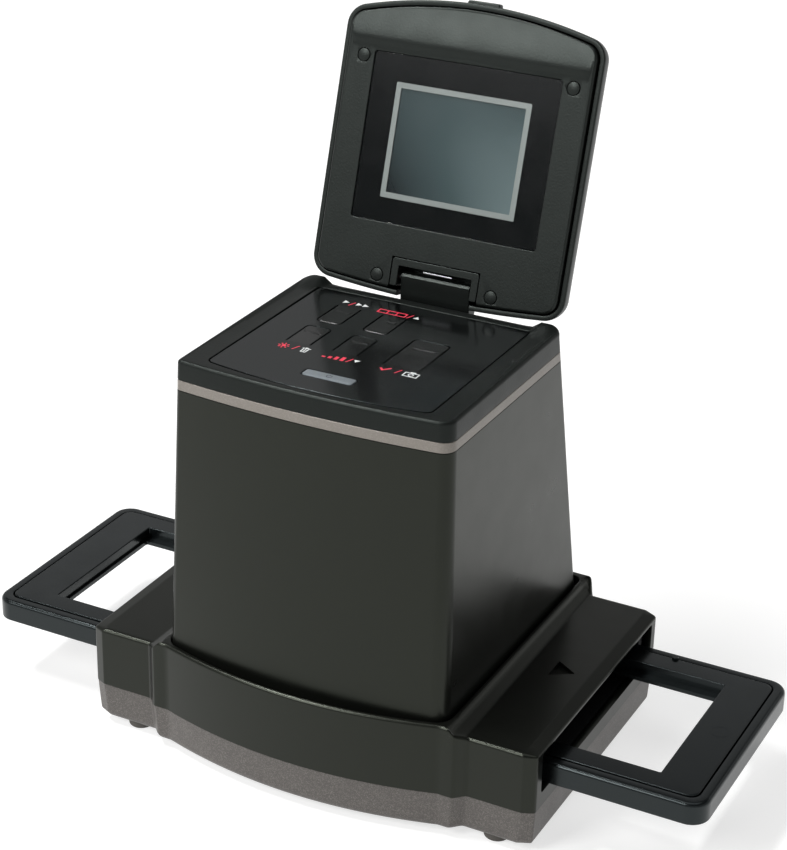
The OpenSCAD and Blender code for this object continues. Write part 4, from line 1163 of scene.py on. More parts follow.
def four(x: float, y: float) -> list[tuple[float, float]]:
    """The four points (+-x, +-y)."""
    return [(sx * x, sy * y) for sx in (-1, 1) for sy in (-1, 1)]


def cross_head(surface: Surface, x: float, y: float, face: float, depth: float, r: float, up: float) -> None:
    """Adds a screw head with a cross recess, seen from the side that up points to.

    Args:
        surface: where it goes.
        x: middle in x.
        y: middle in y.
        face: height of its face.
        depth: height of the head.
        r: its radius.
        up: 1 where the face looks up, -1 where it looks down.
    """
    long, thin, deep = 0.55 * r, 0.16 * r, depth - 0.5 * r
    arm = np.array([(thin, thin), (thin, long), (-thin, long)])
    star = np.concatenate([arm, arm[:, ::-1] * [-1, 1], -arm, arm[:, ::-1] * [1, -1]])
    cut, disc = Polygon(star + [x, y]), ring(x, y, r, 32)
    head = Surface()
    head.wall(disc, np.array([(0, 0), (0, depth - 0.3 * r), (0.1 * r, depth - 0.1 * r), (0.3 * r, depth)]))
    head.cap(disc(0.3 * r), [cut(0)], depth)
    head.wall(cut, np.array([(0, depth), (0.04, deep)]))
    head.cap(cut(0.04), (), deep)
    head.cap(disc(0), (), 0.0)
    surface.join(head.mapped(lambda p: p * [1, 1, up] + [0, 0, face - up * depth]))


# ---------------------------------------------------------------- base


@dataclass(frozen=True)
class BaseEdge:
    """Front or back edge of the base: where its shoulder ends, how far the shoulder
    stands out, and how far the middle bulges."""

    shoulder_x: float
    step: float
    bulge: float


@dataclass(frozen=True)
class BasePlan:
    """Plan of the base: straight wings with cut corners, shoulders that stand out on an
    eased step, and a bulge 1 - (x / half)^2 in front and behind."""

    length: float = 176.4
    depth: float = 111.4
    cut_x: float = 4.4
    cut_y: float = 2.0
    run: float = 5.0
    bulge_half: float = 54.0
    front: BaseEdge = BaseEdge(59.2, 3.6, 8.4)
    back: BaseEdge = BaseEdge(57.5, 7.0, 1.0)
    corner_r: float = 1.6

    def _edge(self, edge: BaseEdge, inset: float) -> np.ndarray:
        """One edge from left to right as (x, distance), between the corner cuts.

        Args:
            edge: front or back edge.
            inset: distance inwards.

        Returns:
            The points (n, 2).
        """
        shoulder = edge.shoulder_x - inset
        bulge_end = min(self.bulge_half, shoulder - 0.3)
        right = np.concatenate(
            [
                np.linspace(0, bulge_end, 40),
                np.linspace(bulge_end, shoulder, 5)[1:],
                shoulder + np.linspace(0, self.run, 13)[1:],
            ]
        )
        x = np.concatenate([-right[:0:-1], right])
        out = self.depth / 2 - inset + edge.step * smooth((shoulder + self.run - np.abs(x)) / self.run)
        return np.stack([x, out + edge.bulge * np.maximum(0, 1 - (x / self.bulge_half) ** 2)], 1)

    def __call__(self, inset: float = 0.0) -> np.ndarray:
        """The outline, anticlockwise from the left front corner.

        Args:
            inset: distance inwards.

        Returns:
            The loop (n, 2).
        """
        h, c = self.length / 2 - inset, self.depth / 2 - inset
        r = max(self.corner_r - inset, 0.3)
        outer, cut, inner, away = (h, 0.0), (h, c - self.cut_y), (h - self.cut_x, c), (h - self.cut_x - 9, c)
        right_back = np.concatenate([fillet(outer, cut, inner, r, 4), fillet(cut, inner, away, r, 4)])
        corners = [right_back * [-1, -1], right_back[::-1] * [1, -1], right_back, right_back[::-1] * [-1, 1]]
        front, back = self._edge(self.front, inset) * [1, -1], self._edge(self.back, inset)[::-1]
        return np.concatenate([corners[0], front, corners[1], corners[2], back, corners[3]])


@dataclass(frozen=True)
class BaseShells:
    """Upper and lower shell, feet and the screws between them."""

    plan: BasePlan = BasePlan()
    wall: float = 2.2
    collar_h: float = 3.8
    collar_x: float = 57.0
    collar_run: float = 4.4
    collar_narrows: float = 0.018
    collar_step: float = 0.3
    wing_drop: float = 0.8
    drop_run: float = 4.6
    edge_front: float = 1.5
    edge_end: float = 0.9
    edge_collar: float = 1.2
    trench_edge: float = 0.4
    trench: SoftRect = SoftRect(55.6, -66.02, 59.4, 6.5, 3.25, 7.7)
    slot_half: float = 48.8
    aperture: float = 58.0
    arrow_x: float = 70.2
    arrow_len: float = 8.1
    arrow_half: float = 5.2
    arrow_deep: float = 1.6
    draft: float = 0.8
    lower_r: float = 2.8
    foot_r: float = 4.75
    foot: tuple[float, float] = (72.5, 48.5)
    posts: tuple[tuple[float, float], ...] = (
        *four(79.6, 51.3),
        (0.0, -57.2),
        (0.0, 54.2),
    )
    post_r: float = 2.1
    slot_flare: float = 0.7
    stage_post: tuple[float, float] = (76.2, 40.3)
    lamp_post: tuple[float, float] = (33.0, 33.0)
    stage_z: float = 20.9
    lamp_z: float = 7.9
    net_spans: tuple[tuple[float, float, float], ...] = (
        (56.3, 63.4, 0.3),
        (65, 82, 3.2),
        (82.8, 84.6, 0.3),
        (85.2, 87.6, 0.8),
    )

    def top(self, x: np.ndarray, y: np.ndarray) -> np.ndarray:
        """Height of the top: the wing, a slope up to the collar with a steeper step at
        its head, and an even drop at the ends, all averaged over 0.4 mm.

        Args:
            x: places in X.
            y: places in Y.

        Returns:
            Heights, as many as places.
        """
        x, y = np.broadcast_arrays(np.abs(x), y)
        away = x[..., None] + np.linspace(-0.4, 0.4, 7)
        run = self.collar_run - self.collar_narrows * y[..., None]
        t = np.clip((self.collar_x + run - away) / run, 0, 1)
        rise = (1 - self.collar_step) * t + self.collar_step * smooth((t - 0.72) / 0.28)
        drop = np.clip((away - self.plan.length / 2 + self.drop_run) / self.drop_run, 0, 1)
        return STACK.wing + (self.collar_h * rise - self.wing_drop * drop).mean(-1)

    def edge_radius(self, loop: np.ndarray) -> np.ndarray:
        """Radius of the top edge: small along the collar, wide on the wings' long
        sides, and in between at their ends.

        Args:
            loop: outline of the shell.

        Returns:
            One radius for each point.
        """
        x = np.abs(loop[:, 0])
        long_side = self.edge_collar + (self.edge_front - self.edge_collar) * smooth((x - 60) / 7)
        at_end = smooth((x - (self.plan.length / 2 - 3.2)) / 2.2)
        return long_side + (self.edge_end - long_side) * at_end

    def upper(self) -> None:
        """Upper shell: outer wall, rounded rim, top field, trench, deck and lining."""
        made = Surface()
        outer, lined = self.plan(0), self.plan(self.wall)
        half = self.plan.length / 2
        drawn = (self.plan(2.0) - outer) / 2.0
        radius = self.edge_radius(outer)[:, None]
        rings = [raised(outer, STACK.part)]
        for a in np.linspace(0, math.pi / 2, 6):
            loop = outer + drawn * radius * (1 - math.cos(a))
            rim = outer + drawn * radius
            z = self.top(rim[:, 0], rim[:, 1]) - radius[:, 0] * (1 - math.sin(a))
            rings.append(raised(loop, z))
        # The two long spans over the ends are left out of the first band for the slots.
        spans = end_spans(outer, half)
        made.strip(rings[:2], skip=spans)
        made.strip(rings[1:])
        over_slot = float(rings[1][np.flatnonzero(spans)[0], 2])
        for s in (-1, 1):
            self._slot_mouth(made, s, over_slot)
        walls = [raised(lined, z) for z in (STACK.part, STACK.deck)]
        made.strip(walls, skip=end_spans(lined, half - self.wall))
        made.cap(outer, [lined], STACK.part)
        light = oblong(0, 0, self.aperture, self.aperture, 0.5, 3)
        made.cap(lined, [light(0)], STACK.deck)
        made.wall(light, np.array([(0, STACK.deck), (0, STACK.wing)]))
        made.cap(self.trench(0), [light(0)], STACK.wing)
        lip = wall_profile(STACK.wing, STACK.ridge, self.trench_edge, 0, 4)
        for k in range(len(lip) - 1):
            pair = []
            for inset, z in lip[k : k + 2]:
                loop = self.trench(-inset)
                edge = self.trench(-self.trench_edge)
                field = self.top(edge[:, 0], edge[:, 1]) - STACK.ridge
                share = (z - STACK.wing) / (STACK.ridge - STACK.wing)
                pair.append(raised(loop, z + field * share))
            made.strip(pair)
        # The arrow's walls lean in by a hair, from outside its outline to inside it.
        arrow, lean = self.arrow_loop(), (-0.06, 0.05)
        made.strip(
            [
                raised(arrow(d), self.top(arrow(d)[:, 0], 0) - deep * self.arrow_depth(arrow(d)[:, 0]))
                for deep, d in enumerate(lean)
            ]
        )
        made.cap(arrow(lean[1]), (), lambda x, y: self.top(x, y) - self.arrow_depth(x))
        # The field's net is fine where the top bends: at the collar and at the ends.
        across = np.concatenate([np.arange(*span) for span in self.net_spans])
        grid = np.meshgrid(np.concatenate([-across, across]), np.arange(-66, 66, 2.6))
        net = np.stack([g.ravel() for g in grid], 1)
        made.cap(rings[-1][:, :2], [self.trench(-self.trench_edge), arrow(lean[0])], self.top, net)
        for x, y in self.posts:
            made.tube(x, y, self.post_r, 1.4, STACK.part + 1.2, STACK.deck)
        finish_piece(made, "upper_shell_skin", Kind.SATIN, "base", stands_for=["upper_shell"], crease=50)

    def _slot_mouth(self, made: Surface, s: int, over_slot: float) -> None:
        """Mouth of the film slot in one end: its face, its flared sides, its inner face.

        Args:
            made: where the faces go.
            s: 1 for the right end, -1 for the left one.
            over_slot: height of the end's flat face.
        """
        half = self.plan.length / 2
        inner_x = half - self.wall
        outer, lined = self.plan(0), self.plan(self.wall)
        height = STACK.slot_top - STACK.slot
        mouth = oblong(0, STACK.slot + height / 2, 2 * self.slot_half, height, 0.6, 4)
        flare = self.slot_flare
        steps = [(-flare, half), (-flare + 0.08, half - 0.1), (0.0, half - 0.9), (0.0, inner_x)]
        for loop, x, inset, top in ((outer, half, -flare, over_slot), (lined, inner_x, 0.0, STACK.deck)):
            spans = end_spans(loop, x)
            ends = loop[spans | np.roll(spans, 1)][:, 1]
            low, high = ends.min(), ends.max()
            face = np.array([(low, STACK.part), (high, STACK.part), (high, top), (low, top)])
            made.patch(face, [mouth(inset)], lambda p, x=s * x: np.column_stack([np.full(len(p), x), p]))
        made.strip([np.column_stack([np.full(len(mouth(d)), s * x), mouth(d)]) for d, x in steps])

    def arrow_depth(self, x: np.ndarray) -> np.ndarray:
        """Depth of the engraved arrow: deepest at its base, a third of that at its tip."""
        return self.arrow_deep * (1 - 0.67 * (x - self.arrow_x) / self.arrow_len)

    def arrow_loop(self) -> Loop:
        """Outline of the engraved arrow, which points outwards.

        Returns:
            The outline, which takes an inset.
        """
        tip = (self.arrow_x + self.arrow_len, 0.0)
        return Polygon(
            rounded([(self.arrow_x, -self.arrow_half), tip, (self.arrow_x, self.arrow_half)], 0.2, 3)
        )

    def lower(self) -> None:
        """Lower shell: rounded tub with recesses for its middle screws."""
        made = Surface()
        a, r = np.linspace(0, math.pi / 2, 8), self.lower_r
        low = [(self.draft + r * (1 - math.sin(t)), STACK.shell + r * (1 - math.cos(t))) for t in a]
        outside = np.array([*low, (0.14, STACK.part - 0.35), (0.22, STACK.part - 0.12), (0.45, STACK.part)])
        made.wall(self.plan, outside)
        inset = self.wall + self.draft
        bores = [ring(x, y, 1.8, 24) for x, y in self.posts if x == 0]
        made.cap(self.plan(outside[0][0]), [bore(0) for bore in bores], STACK.shell)
        head_z = STACK.shell + 1.8
        for bore in bores:
            made.wall(bore, np.array([(0, STACK.shell), (0, head_z)])).cap(bore(0), (), head_z)
        lined = self.plan(inset)
        made.cap(lined, (), STACK.floor)
        made.strip([raised(lined, z) for z in (STACK.floor, STACK.part)])
        made.cap(self.plan(0.45), [lined], STACK.part)
        for x, y in self.posts:
            made.tube(x, y, self.post_r, 1.5, STACK.floor, STACK.part + 1)
        for x, y in four(*self.stage_post):
            made.tube(x, y, 3.0, 1.4, STACK.floor, self.stage_z)
        for x, y in four(*self.lamp_post):
            made.tube(x, y, 2.4, 1.0, STACK.floor, self.lamp_z)
        finish_piece(made, "lower_shell_skin", Kind.TAUPE, "base", stands_for=["lower_shell"], crease=50)

    def feet(self) -> None:
        """Four feet, each a turned pad with a rounded rim."""
        made = Surface()
        r = self.foot_r
        for x, y in four(*self.foot):
            rim = arc(r - 1.1, 1.1, 1.1, -90, 0, 5)
            made.lathe([(0, 0.12), (r - 1.8, 0.12), (r - 1.5, 0), *rim, (r, 3.9), (0, 3.9)], x, y)
        finish_piece(made, "feet_pads", Kind.FOOT, "base", stands_for=["feet"])

    def screws(self) -> None:
        """Base screws with cross recesses, seen in the underside."""
        made = Surface()
        for x, y in self.posts:
            cross_head(made, x, y, STACK.shell + (1.7 if x else 0.3), 1.5, 1.7, -1)
            made.lathe([(0, 4.4), (1.4, 4.4), (1.4, 26.4), (0, 26.6)], x, y, 20)
        finish_piece(made, "base_screw_set", Kind.STEEL, "base", stands_for=["base_screws"])

    def build(self) -> None:
        """Builds the base's pieces."""
        self.upper()
        self.lower()
        self.feet()
        self.screws()


# ---------------------------------------------------------------- tower


@dataclass(frozen=True)
class Tower:
    """Tower shell and the metallic band: a loft from foot to top."""

    height: float = 101.1
    foot: tuple[float, ...] = (54.6, 62.42, 57.0, 6.5, 5.0, 3.6, 3.2)
    head: tuple[float, ...] = (51.9, 55.7, 38.8, 5.2, 2.6, 2.2, 4.6)
    wall: float = 2.4
    ports: tuple[tuple[float, float, float], ...] = ((-28, 8.8, 4.6), (2, 26.6, 4.0), (30, 7.6, 7.2))
    port_low: float = 52.2
    foot_post: tuple[float, float] = (47.9, 44.0)
    cap_posts: tuple[tuple[float, float], ...] = ((-44.3, -42.0), (-44.3, 29.0), (44.3, -42.0), (44.3, 29.0))
    cap_post_r: float = 2.8
    post_h: float = 14.0

    def plan(self, z: float, inset: float = 0.0) -> np.ndarray:
        """Outline at height z: each size is blended from foot to head by height.

        Args:
            z: height.
            inset: distance inwards.

        Returns:
            The loop (n, 2).
        """
        t = (z - STACK.wing) / self.height
        half, front, back, r, sag, left, rear = (a + (b - a) * t for a, b in zip(self.foot, self.head))
        return SoftRect(half, -front, back, r, rear, sag, least_r=0.8, r_left=left)(inset)

    def rings(self, levels: Sequence[tuple[float, float]]) -> list[np.ndarray]:
        """Outlines as points in space for pairs of (z, inset)."""
        return [raised(self.plan(z, inset), z) for z, inset in levels]

    def _wall_with_ports(self, made: Surface, inset: float, low: float, high: float) -> list[np.ndarray]:
        """Wall from low to high with the three openings in its flat back.

        Args:
            made: where the wall goes.
            inset: how far it lies inside the outline.
            low: its lower end.
            high: its upper end.

        Returns:
            The openings' loops in space.
        """
        count = 9
        stack = np.stack(self.rings([(z, inset) for z in np.linspace(low, high, count)]))
        n = stack.shape[1]
        flat = np.flatnonzero(np.abs(stack[0, :, 1] - stack[0, :, 1].max()) < 1e-6)
        skip = np.isin(np.arange(n), flat) & np.isin((np.arange(n) + 1) % n, flat)
        made.strip(stack, skip=skip)
        edge = stack[:, flat]
        y_low, y_high = edge[0, 0, 1], edge[-1, 0, 1]
        right, left = edge[:, 0], edge[:, -1]
        sides = (edge[0, ::-1], right[1:], edge[-1, 1:], left[-2:0:-1])
        border = np.concatenate([side[:, [0, 2]] for side in sides])

        def lift(p: np.ndarray) -> np.ndarray:
            """Points (x, z) on the leaning back wall."""
            share = (p[:, 1] - low) / (high - low)
            return np.column_stack([p[:, 0], y_low + (y_high - y_low) * share, p[:, 1]])

        loops = [oblong(x, self.port_low + h / 2 - 0.3, w, h, 0.7, 4)(0) for x, w, h in self.ports]
        made.patch(border, loops, lift)
        return [lift(loop) for loop in loops]

    def build(self) -> None:
        """Builds tower and band."""
        made = Surface()
        low, top = STACK.wing + 0.05, STACK.band
        outer = self._wall_with_ports(made, 0.0, low, top - 0.3)
        inner = self._wall_with_ports(made, self.wall, low, top - 0.3)
        for a, b in zip(outer, inner):
            made.strip([a, b])
        made.strip(self.rings([(top - 0.3, 0), (top - 0.08, 0.08), (top, 0.3)]))
        made.strip(self.rings([(top, 0.3), (top, self.wall), (top - 0.3, self.wall)]))
        made.strip(self.rings([(low, 0), (low, self.wall)]))
        for x, y in four(*self.foot_post):
            made.tube(x, y, 3.2, 1.4, STACK.wing + 0.1, STACK.wing + self.post_h)
        for x, y in self.cap_posts:
            made.tube(x, y, self.cap_post_r, 1.5, top - self.post_h, top)
        finish_piece(made, "tower_skin", Kind.SATIN, "base", stands_for=["tower_shell"], crease=35)
        band = Surface()
        low, high = STACK.band, STACK.cap
        band.strip(
            self.rings(
                [
                    (low, self.wall),
                    (low, 0.32),
                    (low + 0.1, 0.1),
                    (low + 0.3, 0.0),
                    (high - 0.3, 0.0),
                    (high - 0.1, 0.1),
                    (high, 0.32),
                    (high, self.wall),
                    (low, self.wall),
                ]
            )
        )
        finish_piece(band, "trim_band_skin", Kind.TRIM, "base", stands_for=["trim_band"])


# ---------------------------------------------------------------- cap, panel and keys


@dataclass(frozen=True)
class KeySpec:
    """One key: its middle, its size, and the side of its root (1 behind, -1 in front)."""

    name: str
    x: float
    y: float
    w: float
    d: float
    root: int


@dataclass(frozen=True)
class CapAndKeys:
    """Top cap with its two ears, the gloss panel, the keys and the power bar."""

    tower: Tower = Tower()
    edge: float = 1.2
    ear_h: float = 1.9
    ear_from: float = 24.0
    ear_to: float = 37.0
    ear_in: float = 41.0
    ear_crest: float = 43.2
    ear_out: float = 46.4
    cut_from: float = 34.6
    cut_slope: float = 3.8 / 6.2
    panel: SoftRect = SoftRect(41.8, -51.6, 30.0, 2.5, 1.5, 3.6)
    groove: float = 0.5
    key_gap: float = 0.4
    root_gap: float = 0.02
    key_r: float = 1.4
    key_t: float = 1.6
    keys: tuple[KeySpec, ...] = (
        KeySpec("key_play", -23.3, 10.1, 9, 15.6, 1),
        KeySpec("key_type", -5.1, 10.1, 9, 15.6, 1),
        KeySpec("key_light", -23.3, -11.1, 9, 15.6, -1),
        KeySpec("key_size", -5.1, -11.1, 9, 15.6, -1),
        KeySpec("key_ok", 17.1, -7.8, 13.2, 23.6, -1),
    )
    bar_y: float = -38.9
    bar_w: float = 19.0
    bar_d: float = 4.6
    hole_ease: float = 0.14
    key_ease: float = 0.28
    crease_at: float = 0.17
    crease_deep: float = 0.07
    crease_w: float = 0.45
    switch_top: float = 149.45

    def on_top(self, loop: np.ndarray, deep: float) -> np.ndarray:
        """A loop laid deep below the top of the cap."""
        return raised(loop, self.top(loop[:, 0], loop[:, 1]) - deep)

    def top(self, x: np.ndarray, y: np.ndarray) -> np.ndarray:
        """Height of the cap: flat, a concave rise s^1.6 to each ear's crest, a fall 0.95 s^2
        from there to its outer edge, and a slope down behind between the ears.

        Args:
            x: places in X.
            y: places in Y.

        Returns:
            Heights, as many as places.
        """
        away = np.abs(x)
        inward = np.clip((away - self.ear_in) / (self.ear_crest - self.ear_in), 0, 1)
        outward = np.clip((away - self.ear_out) / 5.4, 0, 1)
        across = inward**1.6 * (1 - 0.95 * outward**2)
        rise = smooth((y - self.ear_from) / (self.ear_to - self.ear_from))
        cut = self.cut_slope * np.clip(y - self.cut_from, 0, 5) * (1 - smooth((away - 39.6) / 1.6))
        return STACK.top + self.ear_h * across * rise - cut

    def key_outline(
        self, key: KeySpec, gap: float = 0.0, root_gap: float = 0.0, eased: float = 0.0
    ) -> np.ndarray:
        """Outline of a key or of its opening, anticlockwise.

        Args:
            key: the key.
            gap: how far it is grown at the free end and the sides.
            root_gap: how far it is grown at the root.
            eased: how far it is drawn in for a rounded rim, everywhere but at the root.

        Returns:
            The loop: rounded at the free end, square at the root.
        """
        w, free, root = key.w / 2 + gap - eased, key.d / 2 + gap - eased, key.d / 2 + root_gap
        low, high = (free, root) if key.root > 0 else (root, free)
        r = self.key_r + gap - eased
        radii = [r, r, 0.05, 0.05] if key.root > 0 else [0.05, 0.05, r, r]
        corners = [(-w, -low), (w, -low), (w, high), (-w, high)]
        return rounded([(key.x + x, key.y + y) for x, y in corners], radii, 5)

    def bar_hole(self, grow: float = 0.0) -> Loop:
        """Opening of the power bar."""
        w, d = (v + 2 * self.key_gap + 2 * grow for v in (self.bar_w, self.bar_d))
        return oblong(0, self.bar_y, w, d, 1.3 + grow, 6)

    def cap(self) -> None:
        """Cap: rounded rim, top field with ears, groove, shelf and lining."""
        made = Surface()
        rings = self.tower.rings([(STACK.cap, 0.35), (STACK.cap + 0.08, 0.12), (STACK.cap + 0.3, 0)])
        heights = np.linspace(STACK.cap + 0.3, STACK.top - self.edge - 0.7, 3)[1:]
        rings += self.tower.rings([(z, 0) for z in heights])
        upper = []
        for a in np.linspace(0, math.pi / 2, 6):
            inset = self.edge * (1 - math.cos(a))
            loop = self.tower.plan(STACK.top - self.edge * (1 - math.sin(a)), inset)
            rim = self.tower.plan(STACK.top, self.edge)
            z = self.top(rim[:, 0], rim[:, 1]) - self.edge * (1 - math.sin(a))
            upper.append(raised(loop, z))
        made.strip(rings + upper)
        pit = Polygon(self.panel(-self.groove))
        x, y = (g.ravel() for g in np.meshgrid(np.arange(-51.6, 51.7, 1.15), np.arange(-56, 38.6, 1.5)))
        net = np.stack([x, y], 1)
        made.cap(upper[-1][:, :2], [pit(-0.25)], self.top, net[(y > 17) | (np.abs(x) > 47)])
        lip = [(-0.25, 0.0), (-0.08, 0.08), (0.0, 0.25)]
        made.strip([self.on_top(pit(d), z) for d, z in lip])
        last = pit(0.0)
        made.strip([self.on_top(last, lip[-1][1]), raised(last, STACK.panel)])
        cuts = [self.key_outline(k, self.key_gap + 0.2, 0.2) for k in self.keys] + [self.bar_hole(0.2)(0)]
        made.cap(last, cuts, STACK.panel)
        for cut in cuts:
            made.strip([raised(cut, z) for z in (STACK.panel, STACK.shelf)])
        lined = self.tower.plan(STACK.top, self.tower.wall)
        made.cap(lined, cuts, STACK.shelf)
        made.strip([raised(lined, z) for z in (STACK.shelf, STACK.cap)])
        made.cap(self.tower.plan(STACK.cap, 0.35), [lined], STACK.cap)
        for x0, y0 in self.tower.cap_posts:
            made.tube(x0, y0, self.tower.cap_post_r, 1.4, STACK.band, STACK.shelf)
        finish_piece(made, "cap_skin", Kind.CAP, "base", stands_for=["top_cap"], crease=50)

    def face(self) -> None:
        """Gloss panel with openings for keys and bar."""
        made = Surface()
        ease, gaps = self.hole_ease, (self.key_gap, self.root_gap)
        bar = self.bar_hole()
        holes = [(self.key_outline(k, *gaps), self.key_outline(k, *gaps, -ease)) for k in self.keys]
        holes.append((bar(0), bar(-ease)))
        made.wall(self.panel, wall_profile(STACK.panel, STACK.top, 0.18, 0.0, 3))
        for sharp, soft in holes:
            levels = [(sharp, STACK.panel), (sharp, STACK.top - ease)]
            levels += [((sharp + 2 * soft) / 3, STACK.top - ease / 3), (soft, STACK.top)]
            made.strip([raised(loop, z) for loop, z in levels])
        made.cap(self.panel(0), [sharp for sharp, _ in holes], STACK.panel)
        made.cap(self.panel(0.18), [soft for _, soft in holes], STACK.top)
        finish_piece(made, "panel_face", Kind.PANEL, "base", stands_for=["key_panel"])

    def key(self, spec: KeySpec) -> None:
        """A key: a tongue with softened edges and a crease across it.

        The top dips by crease_deep exp(-(distance / crease_w)^2) at the crease, a third
        of the key's length from its back end.

        Args:
            spec: the key.
        """
        made = Surface()
        low, high = STACK.top - self.key_t, STACK.top
        crease_y = spec.y + spec.d * self.crease_at

        def surface(_: np.ndarray, y: np.ndarray) -> np.ndarray:
            """Height of the key's top."""
            return high - self.crease_deep * np.exp(-(((y - crease_y) / self.crease_w) ** 2))

        rim = self.key_outline(spec, eased=self.key_ease)
        walls = [raised(self.key_outline(spec), low)]
        for inset, z in wall_profile(low, high, self.key_ease, 0.0, 4)[1:]:
            loop = self.key_outline(spec, eased=inset)
            walls.append(raised(loop, z - high + surface(rim[:, 0], rim[:, 1])))
        made.strip(walls)
        x, y = np.meshgrid(
            np.linspace(spec.x - spec.w / 2, spec.x + spec.w / 2, 9), crease_y + np.linspace(-1.5, 1.5, 13)
        )
        made.cap(rim, (), surface, np.stack([x.ravel(), y.ravel()], 1))
        made.cap(self.key_outline(spec), (), low)
        stem_y = spec.y - spec.root * (spec.d / 2 - 3)
        made.box(spec.x - 1.5, spec.x + 1.5, stem_y - 1.5, stem_y + 1.5, self.switch_top, low + 0.05, 0.05)
        finish_piece(made, spec.name + "_cap", Kind.KEY, spec.name, stands_for=[spec.name], crease=50)

    def bar(self) -> None:
        """Power bar: a low pill with a crowned top."""
        made = Surface()
        shape = oblong(0, self.bar_y, self.bar_w, self.bar_d, 1.1, 6)
        high = STACK.top + 0.2
        made.plate(shape, self.switch_top, high, (), 0.55, 0.1, 2)
        finish_piece(made, "power_bar_cap", Kind.PLATED, "power_button", stands_for=["power_button"])
        sign = Surface()
        lift = high + 0.03
        for loop in symbol_power(0, self.bar_y, 0.95):
            sign.plate(Polygon(loop), high - 0.05, lift, (), 0.0, 0.0)
        finish_piece(sign, "power_bar_symbol", Kind.GREY_INK, "power_button")

    def build(self) -> None:
        """Builds cap, panel, keys and bar."""
        self.cap()
        self.face()
        for spec in self.keys:
            self.key(spec)
        self.bar()


# ---------------------------------------------------------------- printed symbols


def box_loop(x0: float, x1: float, y0: float, y1: float) -> np.ndarray:
    """Rectangle, anticlockwise."""
    return np.array([(x0, y0), (x1, y0), (x1, y1), (x0, y1)])


def stroke(points: Sequence[Sequence[float]], width: float) -> np.ndarray:
    """Band of a given width along an open line, as one closed loop: each point is moved
    half the width to either side along the line's normal.

    Args:
        points: points of the line.
        width: width of the band.

    Returns:
        The loop (n, 2).
    """
    line = np.asarray(points, float)
    way = np.gradient(line, axis=0)
    way /= np.linalg.norm(way, axis=1, keepdims=True)
    side = np.stack([-way[:, 1], way[:, 0]], 1) * width / 2
    return np.concatenate([line - side, (line + side)[::-1]])


def symbol_power(x: float, y: float, r: float) -> list[np.ndarray]:
    """Standby sign: an open ring and a bar."""
    w = 0.34 * r
    return [stroke(arc(x, y, r, 125, 415, 24), w), box_loop(x - w / 2, x + w / 2, y + 0.25 * r, y + 1.25 * r)]


def symbol_triangles(x: float, y: float, s: float, turn: float, count: int = 1) -> list[np.ndarray]:
    """Triangles in a row from (x, y) along X, each s high and turned by turn degrees.

    Args:
        x: middle of the first in X.
        y: middle in Y.
        s: height.
        turn: angle in degrees.
        count: number of triangles.

    Returns:
        One loop for each.
    """
    tri = arc(0, 0, 0.58 * s, 0, 360, 3)[:-1]
    c, t = math.cos(math.radians(turn)), math.sin(math.radians(turn))
    return [tri @ np.array([[c, t], [-t, c]]) + [x + 1.05 * k * s, y] for k in range(count)]


def symbol_slash(x: float, y: float) -> list[np.ndarray]:
    """Slanted stroke about (x, y) that parts two signs."""
    return [np.array([(-0.85, -1.7), (-0.4, -1.7), (0.85, 1.7), (0.4, 1.7)]) + [x, y]]


def bin_sign() -> list[np.ndarray]:
    """Waste bin: lid, handle and a ribbed tub.

    Returns:
        The loops of its parts, about the origin.
    """
    tub = [(-0.36, -0.6), (-0.22, -0.6), (-0.26, 0.28), (-0.42, 0.28)]
    parts = [
        box_loop(-0.55, 0.55, 0.36, 0.5),
        box_loop(-0.2, 0.2, 0.5, 0.64),
        np.array(tub),
        box_loop(-0.07, 0.07, -0.6, 0.28),
        np.array([(0.22, -0.6), (0.36, -0.6), (0.42, 0.28), (0.26, 0.28)]),
        box_loop(-0.36, 0.36, -0.7, -0.58),
    ]
    return parts


def camera_sign() -> list[np.ndarray]:
    """Camera: a body with a lens ring and a finder hump.

    Returns:
        The loops of its parts, about the origin.
    """
    frame_lines = [
        box_loop(-0.95, 0.95, -0.65, -0.5),
        box_loop(-0.95, 0.95, 0.35, 0.5),
        box_loop(-0.95, -0.8, -0.5, 0.35),
        box_loop(0.8, 0.95, -0.5, 0.35),
        box_loop(-0.35, 0.35, 0.5, 0.72),
        stroke(arc(0, -0.08, 0.3, 0, 350, 20), 0.14),
    ]
    return frame_lines


def film_sign() -> list[np.ndarray]:
    """Film strip: two rails joined by frame lines.

    Returns:
        The loops of its parts, about the origin.
    """
    parts = [box_loop(-3.1, 3.1, 0.62, 0.9), box_loop(-3.1, 3.1, -0.9, -0.62)]
    parts += [box_loop(c - 0.14, c + 0.14, -0.62, 0.62) for c in (-2.98, -1.0, 1.0, 2.98)]
    return parts


def sun_sign() -> list[np.ndarray]:
    """Brightness sign: a disc with eight rays.

    Returns:
        The loops of its parts, about the origin.
    """
    parts = [arc(0, 0, 0.36, 0, 360, 20)[:-1]]
    for k in range(8):
        c, t = math.cos(k * math.pi / 4), math.sin(k * math.pi / 4)
        ray = box_loop(0.54, 0.92, -0.11, 0.11)
        parts.append(ray @ np.array([[c, t], [-t, c]]))
    return parts


def sizes_sign() -> list[np.ndarray]:
    """Size sign: four bars in a row, each taller than the one before."""
    bars = ((-1.8, 0.5), (-0.6, 0.9), (0.6, 1.3), (1.8, 1.7))
    return [box_loop(c - 0.34, c + 0.34, -0.85, -0.85 + h) for c, h in bars]


def tick_sign() -> list[np.ndarray]:
    """Confirm sign: a tick."""
    shape = np.array([(-0.8, 0.05), (-0.55, 0.28), (-0.15, -0.2), (0.7, 0.75), (0.92, 0.52), (-0.15, -0.68)])
    return [shape[::-1]]


